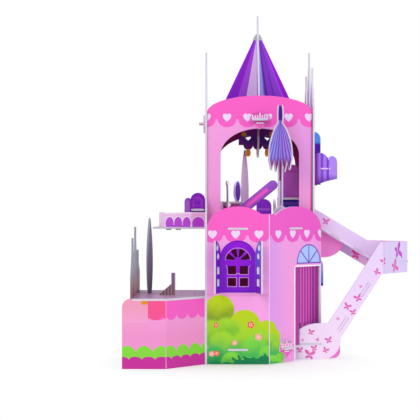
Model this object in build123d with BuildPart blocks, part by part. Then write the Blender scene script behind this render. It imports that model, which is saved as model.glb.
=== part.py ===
from build123d import *
import math
import os

# A play castle of slotted and folded printed board, in millimetres, +Z up.
# X runs to the right and Y to the back. The origin is at the middle of the bottom edge of the front bay,
# in the middle of the board's thickness. Every upright board is drawn on its own middle plane.

# Board and joints
board = 2.5
slip = 0.15
half = board / 2
tab_wide = 25.0

# Lower storey
bay_width = 77.5
door_wall_width = 100.0
door_wall_turn = 45.0
ground_floor_z = 17.75
upper_floor_z = 169.0
parapet_rise = 28.0
saddle_rise = 18.5

# Window in the front bay, with its two leaves folded out
window_width = 45.0
window_side = 43.0
window_rise = 22.5
window_head_gap = 14.5
leaf_opening = 107.0
frame_border = 8.0
frame_overlap = 4.8
pane = 10.5
pane_gap = 4.5
fan_drop = 3.0

# Doorway in the turned wall, and the curtain behind it
door_left = 48.7
door_width = 48.5
door_height = 119.5
curtain_side = 5.0
curtain_strip = 11.0
curtain_gap = 0.6

# Tower
tower_front_y = 68.25
tower_depth = 140.5
tower_width = 137.75
tower_room_height = 141.0
tower_shoulder_step = 10.0
tower_arc_rise = 22.0
tower_sill_step = 9.0
tower_arch_width = 102.5
tower_arch_rise = 34.7
tower_arch_gap = 11.0
back_arch_width = 112.0
back_arch_rise = 39.0
back_arch_gap = 13.0

# Side walls and their spires
side_wall_step = 7.0
side_wall_overhang = 3.25
parapet_slope = 20.0
spire_height = 53.0
spire_height_middle = 80.0
spire_foot = 44.0
spire_pole = 16.0
spire_pole_width = 3.0
passage_width = 41.0
passage_height = 62.0

# Roof
roof_foot_width = 118.0
roof_neck_width = 13.0
roof_slope_height = 111.25
roof_cap_rise = 10.0
roof_pole = 34.5
roof_pole_width = 4.0
roof_tab_spread = 72.0
roof_tab_width = 14.0

# Crest that locks a tab
crest_width = 25.5
crest_slot_width = 20.0
crest_reach = 6.0
crest_crown = 11.5
crest_band = 7.6
crest_heart = 12.2

# Chandelier
chandelier_wide = 52.0
chandelier_neck = 26.0
chandelier_shoulder = 18.0
chandelier_height = 27.75
chandelier_bulb = 12.0
chandelier_heart = 4.2

# Slide with two lanes side by side
slide_front_y = 48.25
lane = 50.0
lane_start = 13.0
lane_length = 76.0
landing_drop = 45.0
landing_reach = 39.4
landing_wall_below = 14.0
landing_wall_above = 27.0
landing_tab = 23.0
landing_end_gap = 1.3
slide_floor_z = 19.7
slide_floor_reach = 20.6
slide_door_reach = 24.0
entry_cut_side = 4.0
entry_cut_front = 6.0
entry_cut_depth = 26.0
slide_end_wall = 26.8
slide_end_curve = 32.0
slide_end_curve_rise = 17.5
slide_strip = 14.75
slide_strip_tab = 33.0
rail_height = 16.5
rail_below = 7.5
back_rail_height = 9.0
upper_rail_height = 18.0
back_wall_below = 11.0
ramp_tab = 20.0
ramp_gap = 1.4
foot_reach = 14.7
foot_corner = 9.0
corbel_length = 43.3
corbel_depth = 38.0

# Balcony
balcony_reach = 68.75
balcony_step = 5.75
balcony_depth = 76.0
rail_wall = 19.25
rail_setback = 3.0
rail_tab = 7.0
seat_width = 19.6
seat_height = 36.25
seat_bow = 9.0
seat_turn = 7.3
seat_depth = 18.0
seat_board_step = 3.2
seat_board_depth = 14.0
seat_tab = 11.0

# Bay and shutters on the right wall
bay_y = 84.0
bay_depth = 56.0
bay_face = 18.95
bay_corner = 12.5
bay_corner_depth = 14.0
bay_bottom_step = 55.4
bay_top_step = 95.0
bay_foot_taper = 9.6
bay_crown_taper = 7.7
bay_bow = 6.5
shutter_inset = 4.0
upper_shutter_reach = 9.5
upper_shutter_step = 57.0
upper_shutter_height = 70.0
lower_shutter_reach = 12.0
lower_shutter_drop = 76.0
lower_shutter_height = 38.0

# Canopy on the terrace
canopy_x = 55.5
canopy_y = 44.0
canopy_turn = 43.0
canopy_half = 21.0
canopy_height = 139.0
canopy_drop = 50.0
canopy_point = 19.0
canopy_strands = 5
canopy_pole = 7.0
canopy_foot = 16.0
canopy_foot_rise = 28.0
canopy_ear = 13.0

# Left wing
wing_reach = 101.5
wing_front = 47.0
wing_height = 85.0
wing_margin = 11.0
wing_corner = 10.0
wing_back_y = 112.0
wing_side_step = 27.0
wing_tab_y = 50.0
wing_spires = ((-21.5, 46.0, 46.0), (32.0, 52.0, 59.0), (86.0, 50.0, 28.0))
garden_tree_height = 97.0
garden_tree_width = 17.0
garden_tree_step = 17.5
stair_step = 30.5
stair_y = 20.0
stair_width = 21.0
stair_height = 28.0
stair_post = 5.0

# Furniture in the tower room
lounge_length = 95.0
lounge_width = 13.0
lounge_lean = 39.5
lounge_mid_step = 29.5
leg_width = 20.0
leg_height = 37.0
dresser_width = 27.0
dresser_height = 31.2
table_depth = 16.0
table_tab = 8.0
stool_width = 15.0
stool_height = 36.0
bench_width = 32.0
bench_height = 36.3
wardrobe_width = 21.0
wardrobe_height = 85.0
mirror_width = 17.5
mirror_height = 61.75
flower_stem = 2.6
flower_head = 4.0
flower_height = 58.0
room_tree_height = 106.75
room_tree_width = 20.0

# Values worked out from the sizes above
tower_left = -bay_width / 2
tower_mid = tower_left + tower_width / 2
tower_right = tower_left + tower_width
left_wall_x = tower_left - half
right_wall_x = tower_right + half
tower_back_y = tower_front_y + tower_depth
parapet_base = upper_floor_z
saddle_top = parapet_base + saddle_rise
window_spring = upper_floor_z - window_head_gap - window_rise
window_sill = window_spring - window_side
ceiling_z = upper_floor_z + tower_room_height
tower_shoulder = ceiling_z + tower_shoulder_step
tower_sill = upper_floor_z + tower_sill_step
tower_arch_spring = ceiling_z - tower_arch_gap - tower_arch_rise
back_arch_spring = ceiling_z - back_arch_gap - back_arch_rise
side_wall_top = tower_shoulder + side_wall_step
side_wall_front = tower_front_y - side_wall_overhang
spire_tip = side_wall_top + spire_height
spire_tip_middle = side_wall_top + spire_height_middle
roof_foot_z = ceiling_z + half
roof_neck_z = roof_foot_z + roof_slope_height
roof_lap_z = (roof_foot_z + roof_neck_z) / 2
landing_z = upper_floor_z - landing_drop
landing_wall_bottom = landing_z - landing_wall_below
landing_wall_top = landing_z + landing_wall_above
upper_ramp_start = tower_right + lane_start
landing_fold_x = upper_ramp_start + lane_length
slide_floor_end = tower_right + slide_floor_reach
slide_door_x = tower_right - slide_door_reach
slide_end_top = slide_floor_z + slide_end_wall
balcony_left = left_wall_x - half - balcony_reach
balcony_front_y = tower_front_y + balcony_step
balcony_back_y = balcony_front_y + balcony_depth
wing_left = left_wall_x - wing_reach
wing_front_y = -wing_front
wing_side_x = wing_left + wing_margin
tower_mid_y = tower_front_y + tower_depth / 2
corner_x = bay_width / 2
turn_cos = math.cos(math.radians(door_wall_turn))
turn_sin = math.sin(math.radians(door_wall_turn))
upper_floor_top = upper_floor_z + half
slot = board + 2 * slip
lane_middle_y = slide_front_y + lane
lane_back_y = slide_front_y + 2 * lane
rail_top = upper_floor_top + rail_wall
chamfer_length = math.hypot(landing_reach, lane)
chamfer_turn = math.degrees(math.atan2(lane, landing_reach))


def upright(x, y, turn=0.0):
    """The middle plane of an upright board: local x runs along it, local y is up."""
    a = math.radians(turn)
    return Plane(origin=(x, y, 0), x_dir=(math.cos(a), math.sin(a), 0), z_dir=(math.sin(a), -math.cos(a), 0))


def turned_point(along, out=0.0):
    """A plan point on the turned wall: so far along it from the fold, and so far out in front of it."""
    return (corner_x + along * turn_cos + out * turn_sin, along * turn_sin - out * turn_cos)


def half_arch(width, base, rise, middle=0.0):
    """A half ellipse that stands on a level line."""
    with BuildLine() as outline:
        EllipticalCenterArc((middle, base), width / 2, rise, start_angle=0, arc_size=180)
        Line((middle - width / 2, base), (middle + width / 2, base))
    make_face(outline.edges())


def arch_shape(middle, width, bottom, spring, rise, mode=Mode.ADD):
    """An upright opening or board with a half-ellipse top."""
    with Locations((middle, (bottom + spring) / 2)):
        Rectangle(width, spring - bottom, mode=mode)
    with Locations((middle, spring)):
        Ellipse(width / 2, rise, mode=mode)


def heart(x, z, side, mode=Mode.ADD):
    """A square on its corner, with a round lobe on each of its upper sides."""
    lobe = side * math.sqrt(2) / 4
    with Locations((x, z)):
        Rectangle(side, side, rotation=45, mode=mode)
    with Locations((x - lobe, z + lobe), (x + lobe, z + lobe)):
        Circle(side / 2, mode=mode)


def slot_cut(middle, height, width=tab_wide):
    """A level slot for a tab of one board's thickness."""
    with Locations((middle, height)):
        Rectangle(width + 2 * slip, slot, mode=Mode.SUBTRACT)


front_plane = upright(0, 0)
turned_plane = upright(corner_x, 0, door_wall_turn)
left_plane = upright(left_wall_x, 0, 90)
right_plane = upright(right_wall_x, 0, 90)

# Front bay and turned wall: one board folded once, with the window's two leaves folded out of it
window_half = window_width / 2
with BuildPart() as castle_front_wall:
    with BuildSketch(front_plane):
        with Locations((0, parapet_base / 2)):
            Rectangle(bay_width, parapet_base)
        half_arch(bay_width, parapet_base, parapet_rise)
        with Locations((corner_x - bay_width / 16, saddle_top / 2)):
            Rectangle(bay_width / 8, saddle_top)
        arch_shape(0, window_width, window_sill, window_spring, window_rise, mode=Mode.SUBTRACT)
        slot_cut(0, ground_floor_z)
        slot_cut(0, upper_floor_z)
    extrude(amount=half, both=True)
    with BuildSketch(turned_plane):
        with Locations((door_wall_width / 2, parapet_base / 2)):
            Rectangle(door_wall_width, parapet_base)
        half_arch(door_wall_width, parapet_base, parapet_rise, door_wall_width / 2)
        with Locations((bay_width / 16, saddle_top / 2)):
            Rectangle(bay_width / 8, saddle_top)
        with Locations((door_left + door_width / 2, door_height / 2)):
            Rectangle(door_width, door_height, mode=Mode.SUBTRACT)
        slot_cut(door_wall_width / 2, upper_floor_z)
        slot_cut(door_left - crest_width * 0.75, ground_floor_z, crest_slot_width)
    extrude(amount=half, both=True)
    with BuildSketch(Plane.XY):
        with Locations((corner_x, 0)):
            Circle(half)
    extrude(amount=saddle_top)
    for side in (-1, 1):
        leaf_plane = upright(side * window_half, 0, -90 + side * (leaf_opening - 90))
        with BuildSketch(leaf_plane):
            with BuildLine():
                Line((0, window_sill), (window_half, window_sill))
                Line((window_half, window_sill), (window_half, window_spring + window_rise))
                EllipticalCenterArc((window_half, window_spring), window_half, window_rise,
                                    start_angle=90, arc_size=90)
                Line((0, window_spring), (0, window_sill))
            make_face()
            with GridLocations(1, pane + pane_gap, 1, 2):
                with Locations((window_half * 0.55, window_sill + frame_border + pane + pane_gap / 2)):
                    Rectangle(window_half * 0.45, pane * 0.85, mode=Mode.SUBTRACT)
            with Locations((window_half * 0.55, window_spring + fan_drop),
                           (window_half * 0.68, window_spring + pane * 1.3)):
                Ellipse(window_half * 0.2, pane * 0.36, mode=Mode.SUBTRACT)
        extrude(amount=half, both=True)
        with BuildSketch(Plane.XY.offset(window_sill)):
            with Locations((side * window_half, 0)):
                Circle(half)
        extrude(amount=window_spring - window_sill)
castle_front_wall.part.label = "castle_front_wall"

# Purple frame that lies behind the window opening
fan_z = window_spring - fan_drop
with BuildPart() as window_frame:
    with BuildSketch(upright(0, board)):
        arch_shape(0, window_width + 2 * frame_overlap, window_sill - frame_overlap, window_spring,
                   window_rise + frame_overlap)
        with Locations((0, window_sill + frame_border + pane + pane_gap / 2)):
            with GridLocations(pane + pane_gap, pane + pane_gap, 2, 2):
                Rectangle(pane, pane, mode=Mode.SUBTRACT)
        for rib in range(4):
            with BuildLine():
                rim = CenterArc((0, fan_z), window_half * 0.68, 45 * rib + 7, 31)
                hub = CenterArc((0, fan_z), window_half * 0.2, 45 * rib + 7, 31)
                Line(hub @ 0, rim @ 0)
                Line(hub @ 1, rim @ 1)
            make_face(mode=Mode.SUBTRACT)
    extrude(amount=half, both=True)
window_frame.part.label = "window_frame"

# Striped curtain behind the doorway, cut short where the slide comes in
curtain_top = door_height + curtain_side
curtain_foot = ground_floor_z + half + slip
curtain_cut = slide_end_top + curtain_gap
curtain_left = door_left - curtain_side
curtain_middle = door_left + curtain_strip
curtain_right = door_left + door_width - curtain_strip
with BuildPart() as door_curtain:
    with BuildSketch(upright(*turned_point(0, -board - slip), door_wall_turn)):
        with BuildLine():
            Polyline((curtain_left, curtain_foot), (curtain_middle, curtain_foot),
                     (curtain_middle, curtain_cut), (curtain_right, curtain_cut),
                     (curtain_right, curtain_top), (curtain_left, curtain_top), close=True)
        make_face()
    extrude(amount=half, both=True)
door_curtain.part.label = "door_curtain"


def spire(middle, foot_width, foot_z, tip):
    """A pointed roof with a thin pole, as a flat outline."""
    pole_half = spire_pole_width / 2
    with BuildLine() as outline:
        Polyline((middle - foot_width / 2, foot_z - 1), (middle - foot_width / 2, foot_z),
                 (middle - pole_half, tip - spire_pole), (middle - pole_half, tip), (middle + pole_half, tip),
                 (middle + pole_half, tip - spire_pole), (middle + foot_width / 2, foot_z),
                 (middle + foot_width / 2, foot_z - 1), close=True)
    make_face(outline.edges())


def spire_row():
    """Three spires along the top of a tower side wall."""
    pitch = (tower_back_y + half - side_wall_front - spire_foot) / 2
    for step, tip in ((-1, spire_tip), (0, spire_tip_middle), (1, spire_tip)):
        spire((side_wall_front + tower_back_y + half) / 2 + step * pitch, spire_foot, side_wall_top, tip)


# Left wall: from the ground to its three spires, with a parapet beside the terrace
wall_back = tower_back_y + half
floor_tab_y = tower_mid_y + tower_depth * 0.36
with BuildPart() as left_wall:
    with BuildSketch(left_plane):
        with BuildLine():
            Polyline((-half, 0), (wall_back, 0), (wall_back, side_wall_top), (side_wall_front, side_wall_top),
                     (side_wall_front, saddle_top + parapet_slope),
                     (side_wall_front - parapet_slope, saddle_top), (-half, saddle_top),
                     close=True)
        make_face()
        spire_row()
        slot_cut(tower_mid_y, ceiling_z, crest_slot_width)
        slot_cut(floor_tab_y, upper_floor_z)
        slot_cut(tower_mid_y, ground_floor_z)
        slot_cut((balcony_front_y + balcony_back_y) / 2, upper_floor_z)
        slot_cut(wing_tab_y, wing_height - half)
    extrude(amount=half, both=True)
left_wall.part.label = "left_wall"

# Right wall: the same spires, and an arched passage on to the slide
passage_y = lane_middle_y + lane / 2
passage_bottom = upper_floor_z - half - slip
with BuildPart() as right_wall:
    with BuildSketch(right_plane):
        with BuildLine():
            Polyline((side_wall_front, 0), (wall_back, 0), (wall_back, side_wall_top),
                     (side_wall_front, side_wall_top), close=True)
        make_face()
        spire_row()
        slot_cut(tower_mid_y, ceiling_z, crest_slot_width)
        slot_cut(tower_mid_y, ground_floor_z)
        arch_shape(passage_y, passage_width, passage_bottom, passage_bottom + passage_height - passage_width / 2,
                   passage_width / 2, mode=Mode.SUBTRACT)
    extrude(amount=half, both=True)
right_wall.part.label = "right_wall"

# Tower front: an arched panel that stands on the upper floor between the side walls
panel_width = tower_width - 2 * slip
with BuildPart() as tower_front:
    with BuildSketch(upright(tower_mid, tower_front_y)):
        arch_shape(0, panel_width, upper_floor_top, tower_shoulder, tower_arc_rise)
        arch_shape(0, tower_arch_width, tower_sill, tower_arch_spring, tower_arch_rise, mode=Mode.SUBTRACT)
        slot_cut(0, ceiling_z, crest_slot_width)
    extrude(amount=half, both=True)
tower_front.part.label = "tower_front"

# Tower back: one board from the ground up
with BuildPart() as tower_back:
    with BuildSketch(upright(tower_mid, tower_back_y)):
        arch_shape(0, panel_width, 0, tower_shoulder, tower_arc_rise)
        arch_shape(0, back_arch_width, tower_sill, back_arch_spring, back_arch_rise, mode=Mode.SUBTRACT)
        slot_cut(0, ceiling_z, crest_slot_width)
        slot_cut(0, upper_floor_z)
        slot_cut(0, ground_floor_z)
    extrude(amount=half, both=True)
tower_back.part.label = "tower_back"


def tab(x, y, turn, width=tab_wide, reach=0.0):
    """A tab of a level board, through a wall whose middle plane holds the point; it points out of the wall."""
    out = (math.sin(math.radians(turn)), -math.cos(math.radians(turn)))
    shift = (reach - slip - 1) / 2
    with Locations(Location((x + out[0] * shift, y + out[1] * shift, 0), (0, 0, turn))):
        Rectangle(width, board + reach + slip + 1)


def room_outline():
    """The plan of the room between the walls, less the fit."""
    inset = half + slip
    far = (tower_right - slip - corner_x + inset * turn_sin) / turn_cos
    first = turned_point(inset * (1 - turn_cos) / turn_sin, -inset)
    last = turned_point(far, -inset)
    back = tower_back_y - inset
    with BuildLine() as outline:
        Polyline((tower_left + slip, inset), first, last, (tower_right - slip, back), (tower_left + slip, back),
                 close=True)
    make_face(outline.edges())


# Ground floor, cut back where the slide comes in through the doorway
door_crest_along = door_left - crest_width * 0.75
crest_out = board + crest_reach
with BuildPart() as ground_floor:
    with BuildSketch(Plane.XY.offset(ground_floor_z - half)):
        room_outline()
        with Locations((slide_door_x - entry_cut_side, slide_front_y - entry_cut_front)):
            Rectangle(tower_right - slide_door_x + 2 * entry_cut_side, entry_cut_depth,
                      align=(Align.MIN, Align.MIN), mode=Mode.SUBTRACT)
        tab(0, 0, 0)
        tab(*turned_point(door_crest_along), door_wall_turn, crest_slot_width, crest_out)
        tab(left_wall_x, tower_mid_y, -90)
        tab(right_wall_x, tower_mid_y, 90)
        tab(tower_mid, tower_back_y, 180)
    extrude(amount=board)
ground_floor.part.label = "ground_floor"

# Upper floor: the room in the tower and the terrace in front of it
doorstep = upper_ramp_start - 1 - tower_right
with BuildPart() as upper_floor:
    with BuildSketch(Plane.XY.offset(upper_floor_z - half)):
        room_outline()
        tab(0, 0, 0)
        tab(*turned_point(door_wall_width / 2), door_wall_turn)
        tab(left_wall_x, floor_tab_y, -90)
        tab(tower_mid, tower_back_y, 180)
        with Locations((tower_right - 1, passage_y)):
            Rectangle(doorstep + 1, passage_width - 2 * slip, align=(Align.MIN, Align.CENTER))
    extrude(amount=board)
upper_floor.part.label = "upper_floor"

# Tower ceiling with slots for the roof
with BuildPart() as tower_ceiling:
    with BuildSketch(Plane.XY.offset(ceiling_z - half)):
        with Locations((tower_mid, tower_mid_y)):
            Rectangle(panel_width, tower_depth - board - 2 * slip)
            with GridLocations(roof_tab_spread, 1, 2, 1):
                Rectangle(roof_tab_width + 2 * slip, slot, mode=Mode.SUBTRACT)
            with GridLocations(1, roof_tab_spread, 1, 2):
                Rectangle(slot, roof_tab_width + 2 * slip, mode=Mode.SUBTRACT)
        tab(tower_mid, tower_front_y, 0, crest_slot_width, crest_out)
        tab(left_wall_x, tower_mid_y, -90, crest_slot_width, crest_out)
        tab(right_wall_x, tower_mid_y, 90, crest_slot_width)
        tab(tower_mid, tower_back_y, 180, crest_slot_width)
    extrude(amount=board)
tower_ceiling.part.label = "tower_ceiling"


# Roof: two pointed boards that cross, each slotted over half of its height
def roof_outline():
    with BuildLine() as outline:
        Polyline((-roof_foot_width / 2, roof_foot_z), (roof_foot_width / 2, roof_foot_z),
                 (roof_neck_width / 2, roof_neck_z), (-roof_neck_width / 2, roof_neck_z), close=True)
    make_face(outline.edges())
    half_arch(roof_neck_width, roof_neck_z, roof_cap_rise)
    with Locations((0, roof_foot_z - half)):
        with GridLocations(roof_tab_spread, 1, 2, 1):
            Rectangle(roof_tab_width, board)


with BuildPart() as roof_main:
    with BuildSketch(upright(tower_mid, tower_mid_y)):
        roof_outline()
        with Locations((0, roof_lap_z)):
            Rectangle(slot, roof_neck_z, align=(Align.CENTER, Align.MIN), mode=Mode.SUBTRACT)
    extrude(amount=half, both=True)
roof_main.part.label = "roof_main"

with BuildPart() as roof_cross:
    with BuildSketch(upright(tower_mid, tower_mid_y, 90)):
        roof_outline()
        with Locations((0, roof_neck_z)):
            Rectangle(roof_pole_width, roof_pole, align=(Align.CENTER, Align.MIN))
        with Locations((0, roof_lap_z)):
            Rectangle(slot, roof_neck_z, align=(Align.CENTER, Align.MAX), mode=Mode.SUBTRACT)
    extrude(amount=half, both=True)
roof_cross.part.label = "roof_cross"


def crest(x, y, turn, height):
    """A crown over a heart, slotted on to a tab just outside a wall."""
    out = board + slip
    plane = upright(x + out * math.sin(math.radians(turn)), y - out * math.cos(math.radians(turn)), turn)
    point = crest_width / 5
    with BuildPart() as piece:
        with BuildSketch(plane):
            with Locations((0, height)):
                Rectangle(crest_width, crest_band)
            for step in (-2, -1, 0, 1, 2):
                peak = height + crest_crown - abs(step) * point / 4
                with BuildLine():
                    Polyline(((step - 0.5) * point, height), ((step + 0.5) * point, height), (step * point, peak),
                             close=True)
                make_face()
            heart(0, height - crest_heart / 3, crest_heart)
            slot_cut(0, height, crest_slot_width)
        extrude(amount=half, both=True)
    return piece


tower_crest = crest(tower_mid, tower_front_y, 0, ceiling_z)
tower_crest.part.label = "tower_crest"
side_crest = crest(left_wall_x, tower_mid_y, -90, ceiling_z)
side_crest.part.label = "side_crest"
door_crest = crest(*turned_point(door_crest_along), door_wall_turn, ground_floor_z)
door_crest.part.label = "door_crest"

# Chandelier: two boards that cross under the ceiling, each with two bulbs
chandelier_top = ceiling_z - half
chandelier_low = chandelier_top - chandelier_height
chandelier_lap_z = chandelier_top - chandelier_shoulder


def chandelier_outline():
    with BuildLine() as outline:
        Polyline((-chandelier_neck / 2, chandelier_top), (chandelier_neck / 2, chandelier_top),
                 (chandelier_wide / 2, chandelier_lap_z), (chandelier_wide / 2, chandelier_low),
                 (-chandelier_wide / 2, chandelier_low), (-chandelier_wide / 2, chandelier_lap_z), close=True)
    make_face(outline.edges())
    with Locations((0, chandelier_low)):
        with GridLocations(chandelier_wide / 4, 1, 3, 1):
            Circle(chandelier_wide / 8)
    with Locations((0, chandelier_low - chandelier_wide / 8 - chandelier_bulb / 3)):
        with GridLocations(chandelier_wide / 2, 1, 2, 1):
            Ellipse(chandelier_bulb / 3.5, chandelier_bulb / 2)
    for side in (-1, 1):
        heart(side * chandelier_wide / 4, chandelier_low + chandelier_height / 3, chandelier_heart, Mode.SUBTRACT)


with BuildPart() as chandelier_front:
    with BuildSketch(upright(tower_mid, tower_mid_y)):
        chandelier_outline()
        with Locations((0, chandelier_lap_z)):
            Rectangle(slot, chandelier_wide, align=(Align.CENTER, Align.MIN), mode=Mode.SUBTRACT)
    extrude(amount=half, both=True)
chandelier_front.part.label = "chandelier_front"

with BuildPart() as chandelier_cross:
    with BuildSketch(upright(tower_mid, tower_mid_y, 90)):
        chandelier_outline()
        with Locations((0, chandelier_lap_z)):
            Rectangle(slot, chandelier_wide, align=(Align.CENTER, Align.MAX), mode=Mode.SUBTRACT)
    extrude(amount=half, both=True)
chandelier_cross.part.label = "chandelier_cross"

# Slide. Both ramps follow a straight line from one floor to the next.
upper_ramp_end = landing_fold_x - ramp_gap
upper_slope = landing_drop / (lane_length - 1.5 * ramp_gap)
lower_angle = math.atan2(landing_z - slide_floor_z, landing_fold_x - 0.7 * ramp_gap - slide_floor_end)
wall_face = tower_right + board
lane_clear = lane - board - 2 * slip


def upper_line(x, above=0.0):
    """Height of the upper ramp's middle at x."""
    return upper_floor_z - max(0.0, x - upper_ramp_start) * upper_slope + above


def lower_line(z, above=0.0):
    """The x of the lower ramp's middle at height z, moved square to the ramp."""
    return slide_floor_end + (z - slide_floor_z) / math.tan(lower_angle) - above / math.sin(lower_angle)


def lower_floor_under(x):
    """Height just under the lower ramp at x."""
    return slide_floor_z + (x - slide_floor_end) * math.tan(lower_angle) - half / math.cos(lower_angle) - slip


def ramp_plane(x, z, y, angle):
    return Plane(origin=(x, y, z), x_dir=(math.cos(angle), 0, math.sin(angle)),
                 z_dir=(-math.sin(angle), 0, math.cos(angle)))


def fold_post(x, y, bottom, top):
    """The rounded fold between two faces of one board."""
    with BuildSketch(Plane.XY.offset(bottom)) as face:
        with Locations((x, y)):
            Circle(half)
    extrude(face.sketch, amount=top - bottom)


lower_rise = landing_z - slide_floor_z
lower_tabs = (slide_floor_z + lower_rise * 0.25, slide_floor_z + lower_rise * 0.67)
upper_tabs = (upper_ramp_start + lane_length * 0.26, upper_ramp_start + lane_length * 0.66)
upper_tab = ramp_tab * 0.7
face_end = chamfer_length - landing_end_gap


def slide_tab_slots():
    """Slots that follow the lower ramp."""
    for z in lower_tabs:
        with Locations(Location((lower_line(z), z, 0), (0, 0, math.degrees(lower_angle)))):
            Rectangle(ramp_tab + 2 * slip, slot, mode=Mode.SUBTRACT)


def landing_face():
    """The turned face of the landing wall, with an open slot at its end."""
    with Locations((0, landing_wall_bottom)):
        Rectangle(face_end, landing_wall_top - landing_wall_bottom, align=(Align.MIN, Align.MIN))
    with Locations((face_end, landing_z)):
        Rectangle(landing_tab, slot, align=(Align.MAX, Align.CENTER), mode=Mode.SUBTRACT)


knee_z = slide_floor_z + rail_below
knee_x = lower_line(knee_z, -rail_below)
toe_x = slide_floor_end - rail_below
strip_tab_x = slide_door_x + slide_strip_tab / 2 + half
with BuildPart() as slide_front_wall:
    with BuildSketch(upright(0, slide_front_y)):
        with BuildLine():
            Polyline((slide_door_x + slide_end_curve, slide_end_top),
                     (lower_line(slide_end_top, rail_height), slide_end_top),
                     (lower_line(landing_wall_top, rail_height), landing_wall_top),
                     (landing_fold_x, landing_wall_top), (landing_fold_x, landing_wall_bottom),
                     (lower_line(landing_wall_bottom, -rail_below), landing_wall_bottom), (knee_x, knee_z))
            ThreePointArc((knee_x, knee_z), (knee_x - knee_z / 5, knee_z / 3), (toe_x, 0))
            Polyline((toe_x, 0), (slide_door_x, 0), (slide_door_x, slide_end_top - slide_end_curve_rise))
            EllipticalCenterArc((slide_door_x + slide_end_curve, slide_end_top - slide_end_curve_rise),
                                slide_end_curve, slide_end_curve_rise, start_angle=90, arc_size=90)
        make_face()
        slide_tab_slots()
        slot_cut(strip_tab_x, slide_floor_z, slide_strip_tab)
    extrude(amount=half, both=True)
    with BuildSketch(upright(landing_fold_x, slide_front_y, chamfer_turn)):
        landing_face()
    extrude(amount=half, both=True)
    fold_post(landing_fold_x, slide_front_y, landing_wall_bottom, landing_wall_top)
slide_front_wall.part.label = "slide_front_wall"

middle_end = landing_fold_x - half / 2
middle_low_top = landing_z + half + back_rail_height
upper_rail_rise = upper_rail_height / math.cos(math.atan(upper_slope))
rail_start = upper_ramp_start + upper_rail_height / 3
level_from = upper_ramp_start + (upper_floor_z + upper_rail_rise - landing_wall_top) / upper_slope


def rail_top_points(last):
    """The upper rail's top edge, from the landing back up to the tower wall."""
    return [(last, landing_wall_top), (level_from, landing_wall_top),
            (rail_start, upper_line(rail_start, upper_rail_rise)),
            (wall_face + slip, upper_floor_z + upper_rail_rise * 1.25)]


# Middle wall: the upper lane's front rail and the lower lane's back rail in one board
with BuildPart() as slide_middle_wall:
    with BuildSketch(upright(0, lane_middle_y)):
        with BuildLine():
            Polyline((wall_face + slip, upper_floor_z - board), (upper_ramp_start, upper_floor_z - board),
                     (middle_end, upper_line(middle_end, -board)), *rail_top_points(middle_end), close=True)
        make_face()
        with BuildLine():
            Polyline((lower_line(middle_low_top, back_rail_height), middle_low_top),
                     (lower_line(knee_z, back_rail_height), knee_z), (toe_x, knee_z), (toe_x, 0),
                     (slide_floor_end, 0), (knee_x, knee_z),
                     (lower_line(landing_wall_bottom, -rail_below), landing_wall_bottom),
                     (middle_end, landing_wall_bottom), (middle_end, middle_low_top), close=True)
        make_face()
        for x in upper_tabs:
            with Locations(Location((x, upper_line(x), 0), (0, 0, -math.degrees(math.atan(upper_slope))))):
                Rectangle(upper_tab + 2 * slip, slot, mode=Mode.SUBTRACT)
    extrude(amount=half, both=True)
slide_middle_wall.part.label = "slide_middle_wall"

# Back wall: it reaches further down than the ramp, and folds round the landing
low_drop = back_wall_below / math.cos(math.atan(upper_slope))
with BuildPart() as slide_back_wall:
    with BuildSketch(upright(0, lane_back_y)):
        with BuildLine():
            Polyline((wall_face + slip, upper_floor_z - low_drop), (upper_ramp_start, upper_floor_z - low_drop),
                     (landing_fold_x, upper_line(landing_fold_x, -low_drop)), *rail_top_points(landing_fold_x),
                     close=True)
        make_face()
    extrude(amount=half, both=True)
    with BuildSketch(upright(landing_fold_x, lane_back_y, -chamfer_turn)):
        landing_face()
    extrude(amount=half, both=True)
    fold_post(landing_fold_x, lane_back_y, landing_wall_bottom, landing_wall_top)
slide_back_wall.part.label = "slide_back_wall"

# Ramps, with tabs through the walls in front of them
upper_angle = -math.atan(upper_slope)
upper_length = (upper_ramp_end - upper_ramp_start) / math.cos(upper_angle)
with BuildPart() as upper_ramp:
    with BuildSketch(ramp_plane(upper_ramp_start, upper_floor_z, lane_middle_y + lane / 2, upper_angle)):
        Rectangle(upper_length, lane_clear, align=(Align.MIN, Align.CENTER))
        for x in upper_tabs:
            with Locations(((x - upper_ramp_start) / math.cos(upper_angle), -lane / 2 - half)):
                Rectangle(upper_tab, 2 * board, align=(Align.CENTER, Align.MIN))
    extrude(amount=half, both=True)
upper_ramp.part.label = "upper_ramp"

lower_length = (landing_z - half - slip - slide_floor_z) / math.sin(lower_angle)
with BuildPart() as lower_ramp:
    with BuildSketch(ramp_plane(slide_floor_end, slide_floor_z, slide_front_y + lane / 2, lower_angle)):
        with Locations((ramp_gap, 0)):
            Rectangle(lower_length - ramp_gap, lane_clear, align=(Align.MIN, Align.CENTER))
        for z in lower_tabs:
            with Locations(((z - slide_floor_z) / math.sin(lower_angle), -lane / 2 - half)):
                Rectangle(ramp_tab, 2 * board, align=(Align.CENTER, Align.MIN))
    extrude(amount=half, both=True)
lower_ramp.part.label = "lower_ramp"

chamfer_cos = landing_reach / chamfer_length
chamfer_sin = lane / chamfer_length


def landing_point(along, inset, side=1):
    """A plan point beside the landing's turned wall; side -1 is its mirror image at the back."""
    x = landing_fold_x + along * chamfer_cos - inset * chamfer_sin
    y = -lane + along * chamfer_sin + inset * chamfer_cos
    return (x, lane_middle_y + side * y)


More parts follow.
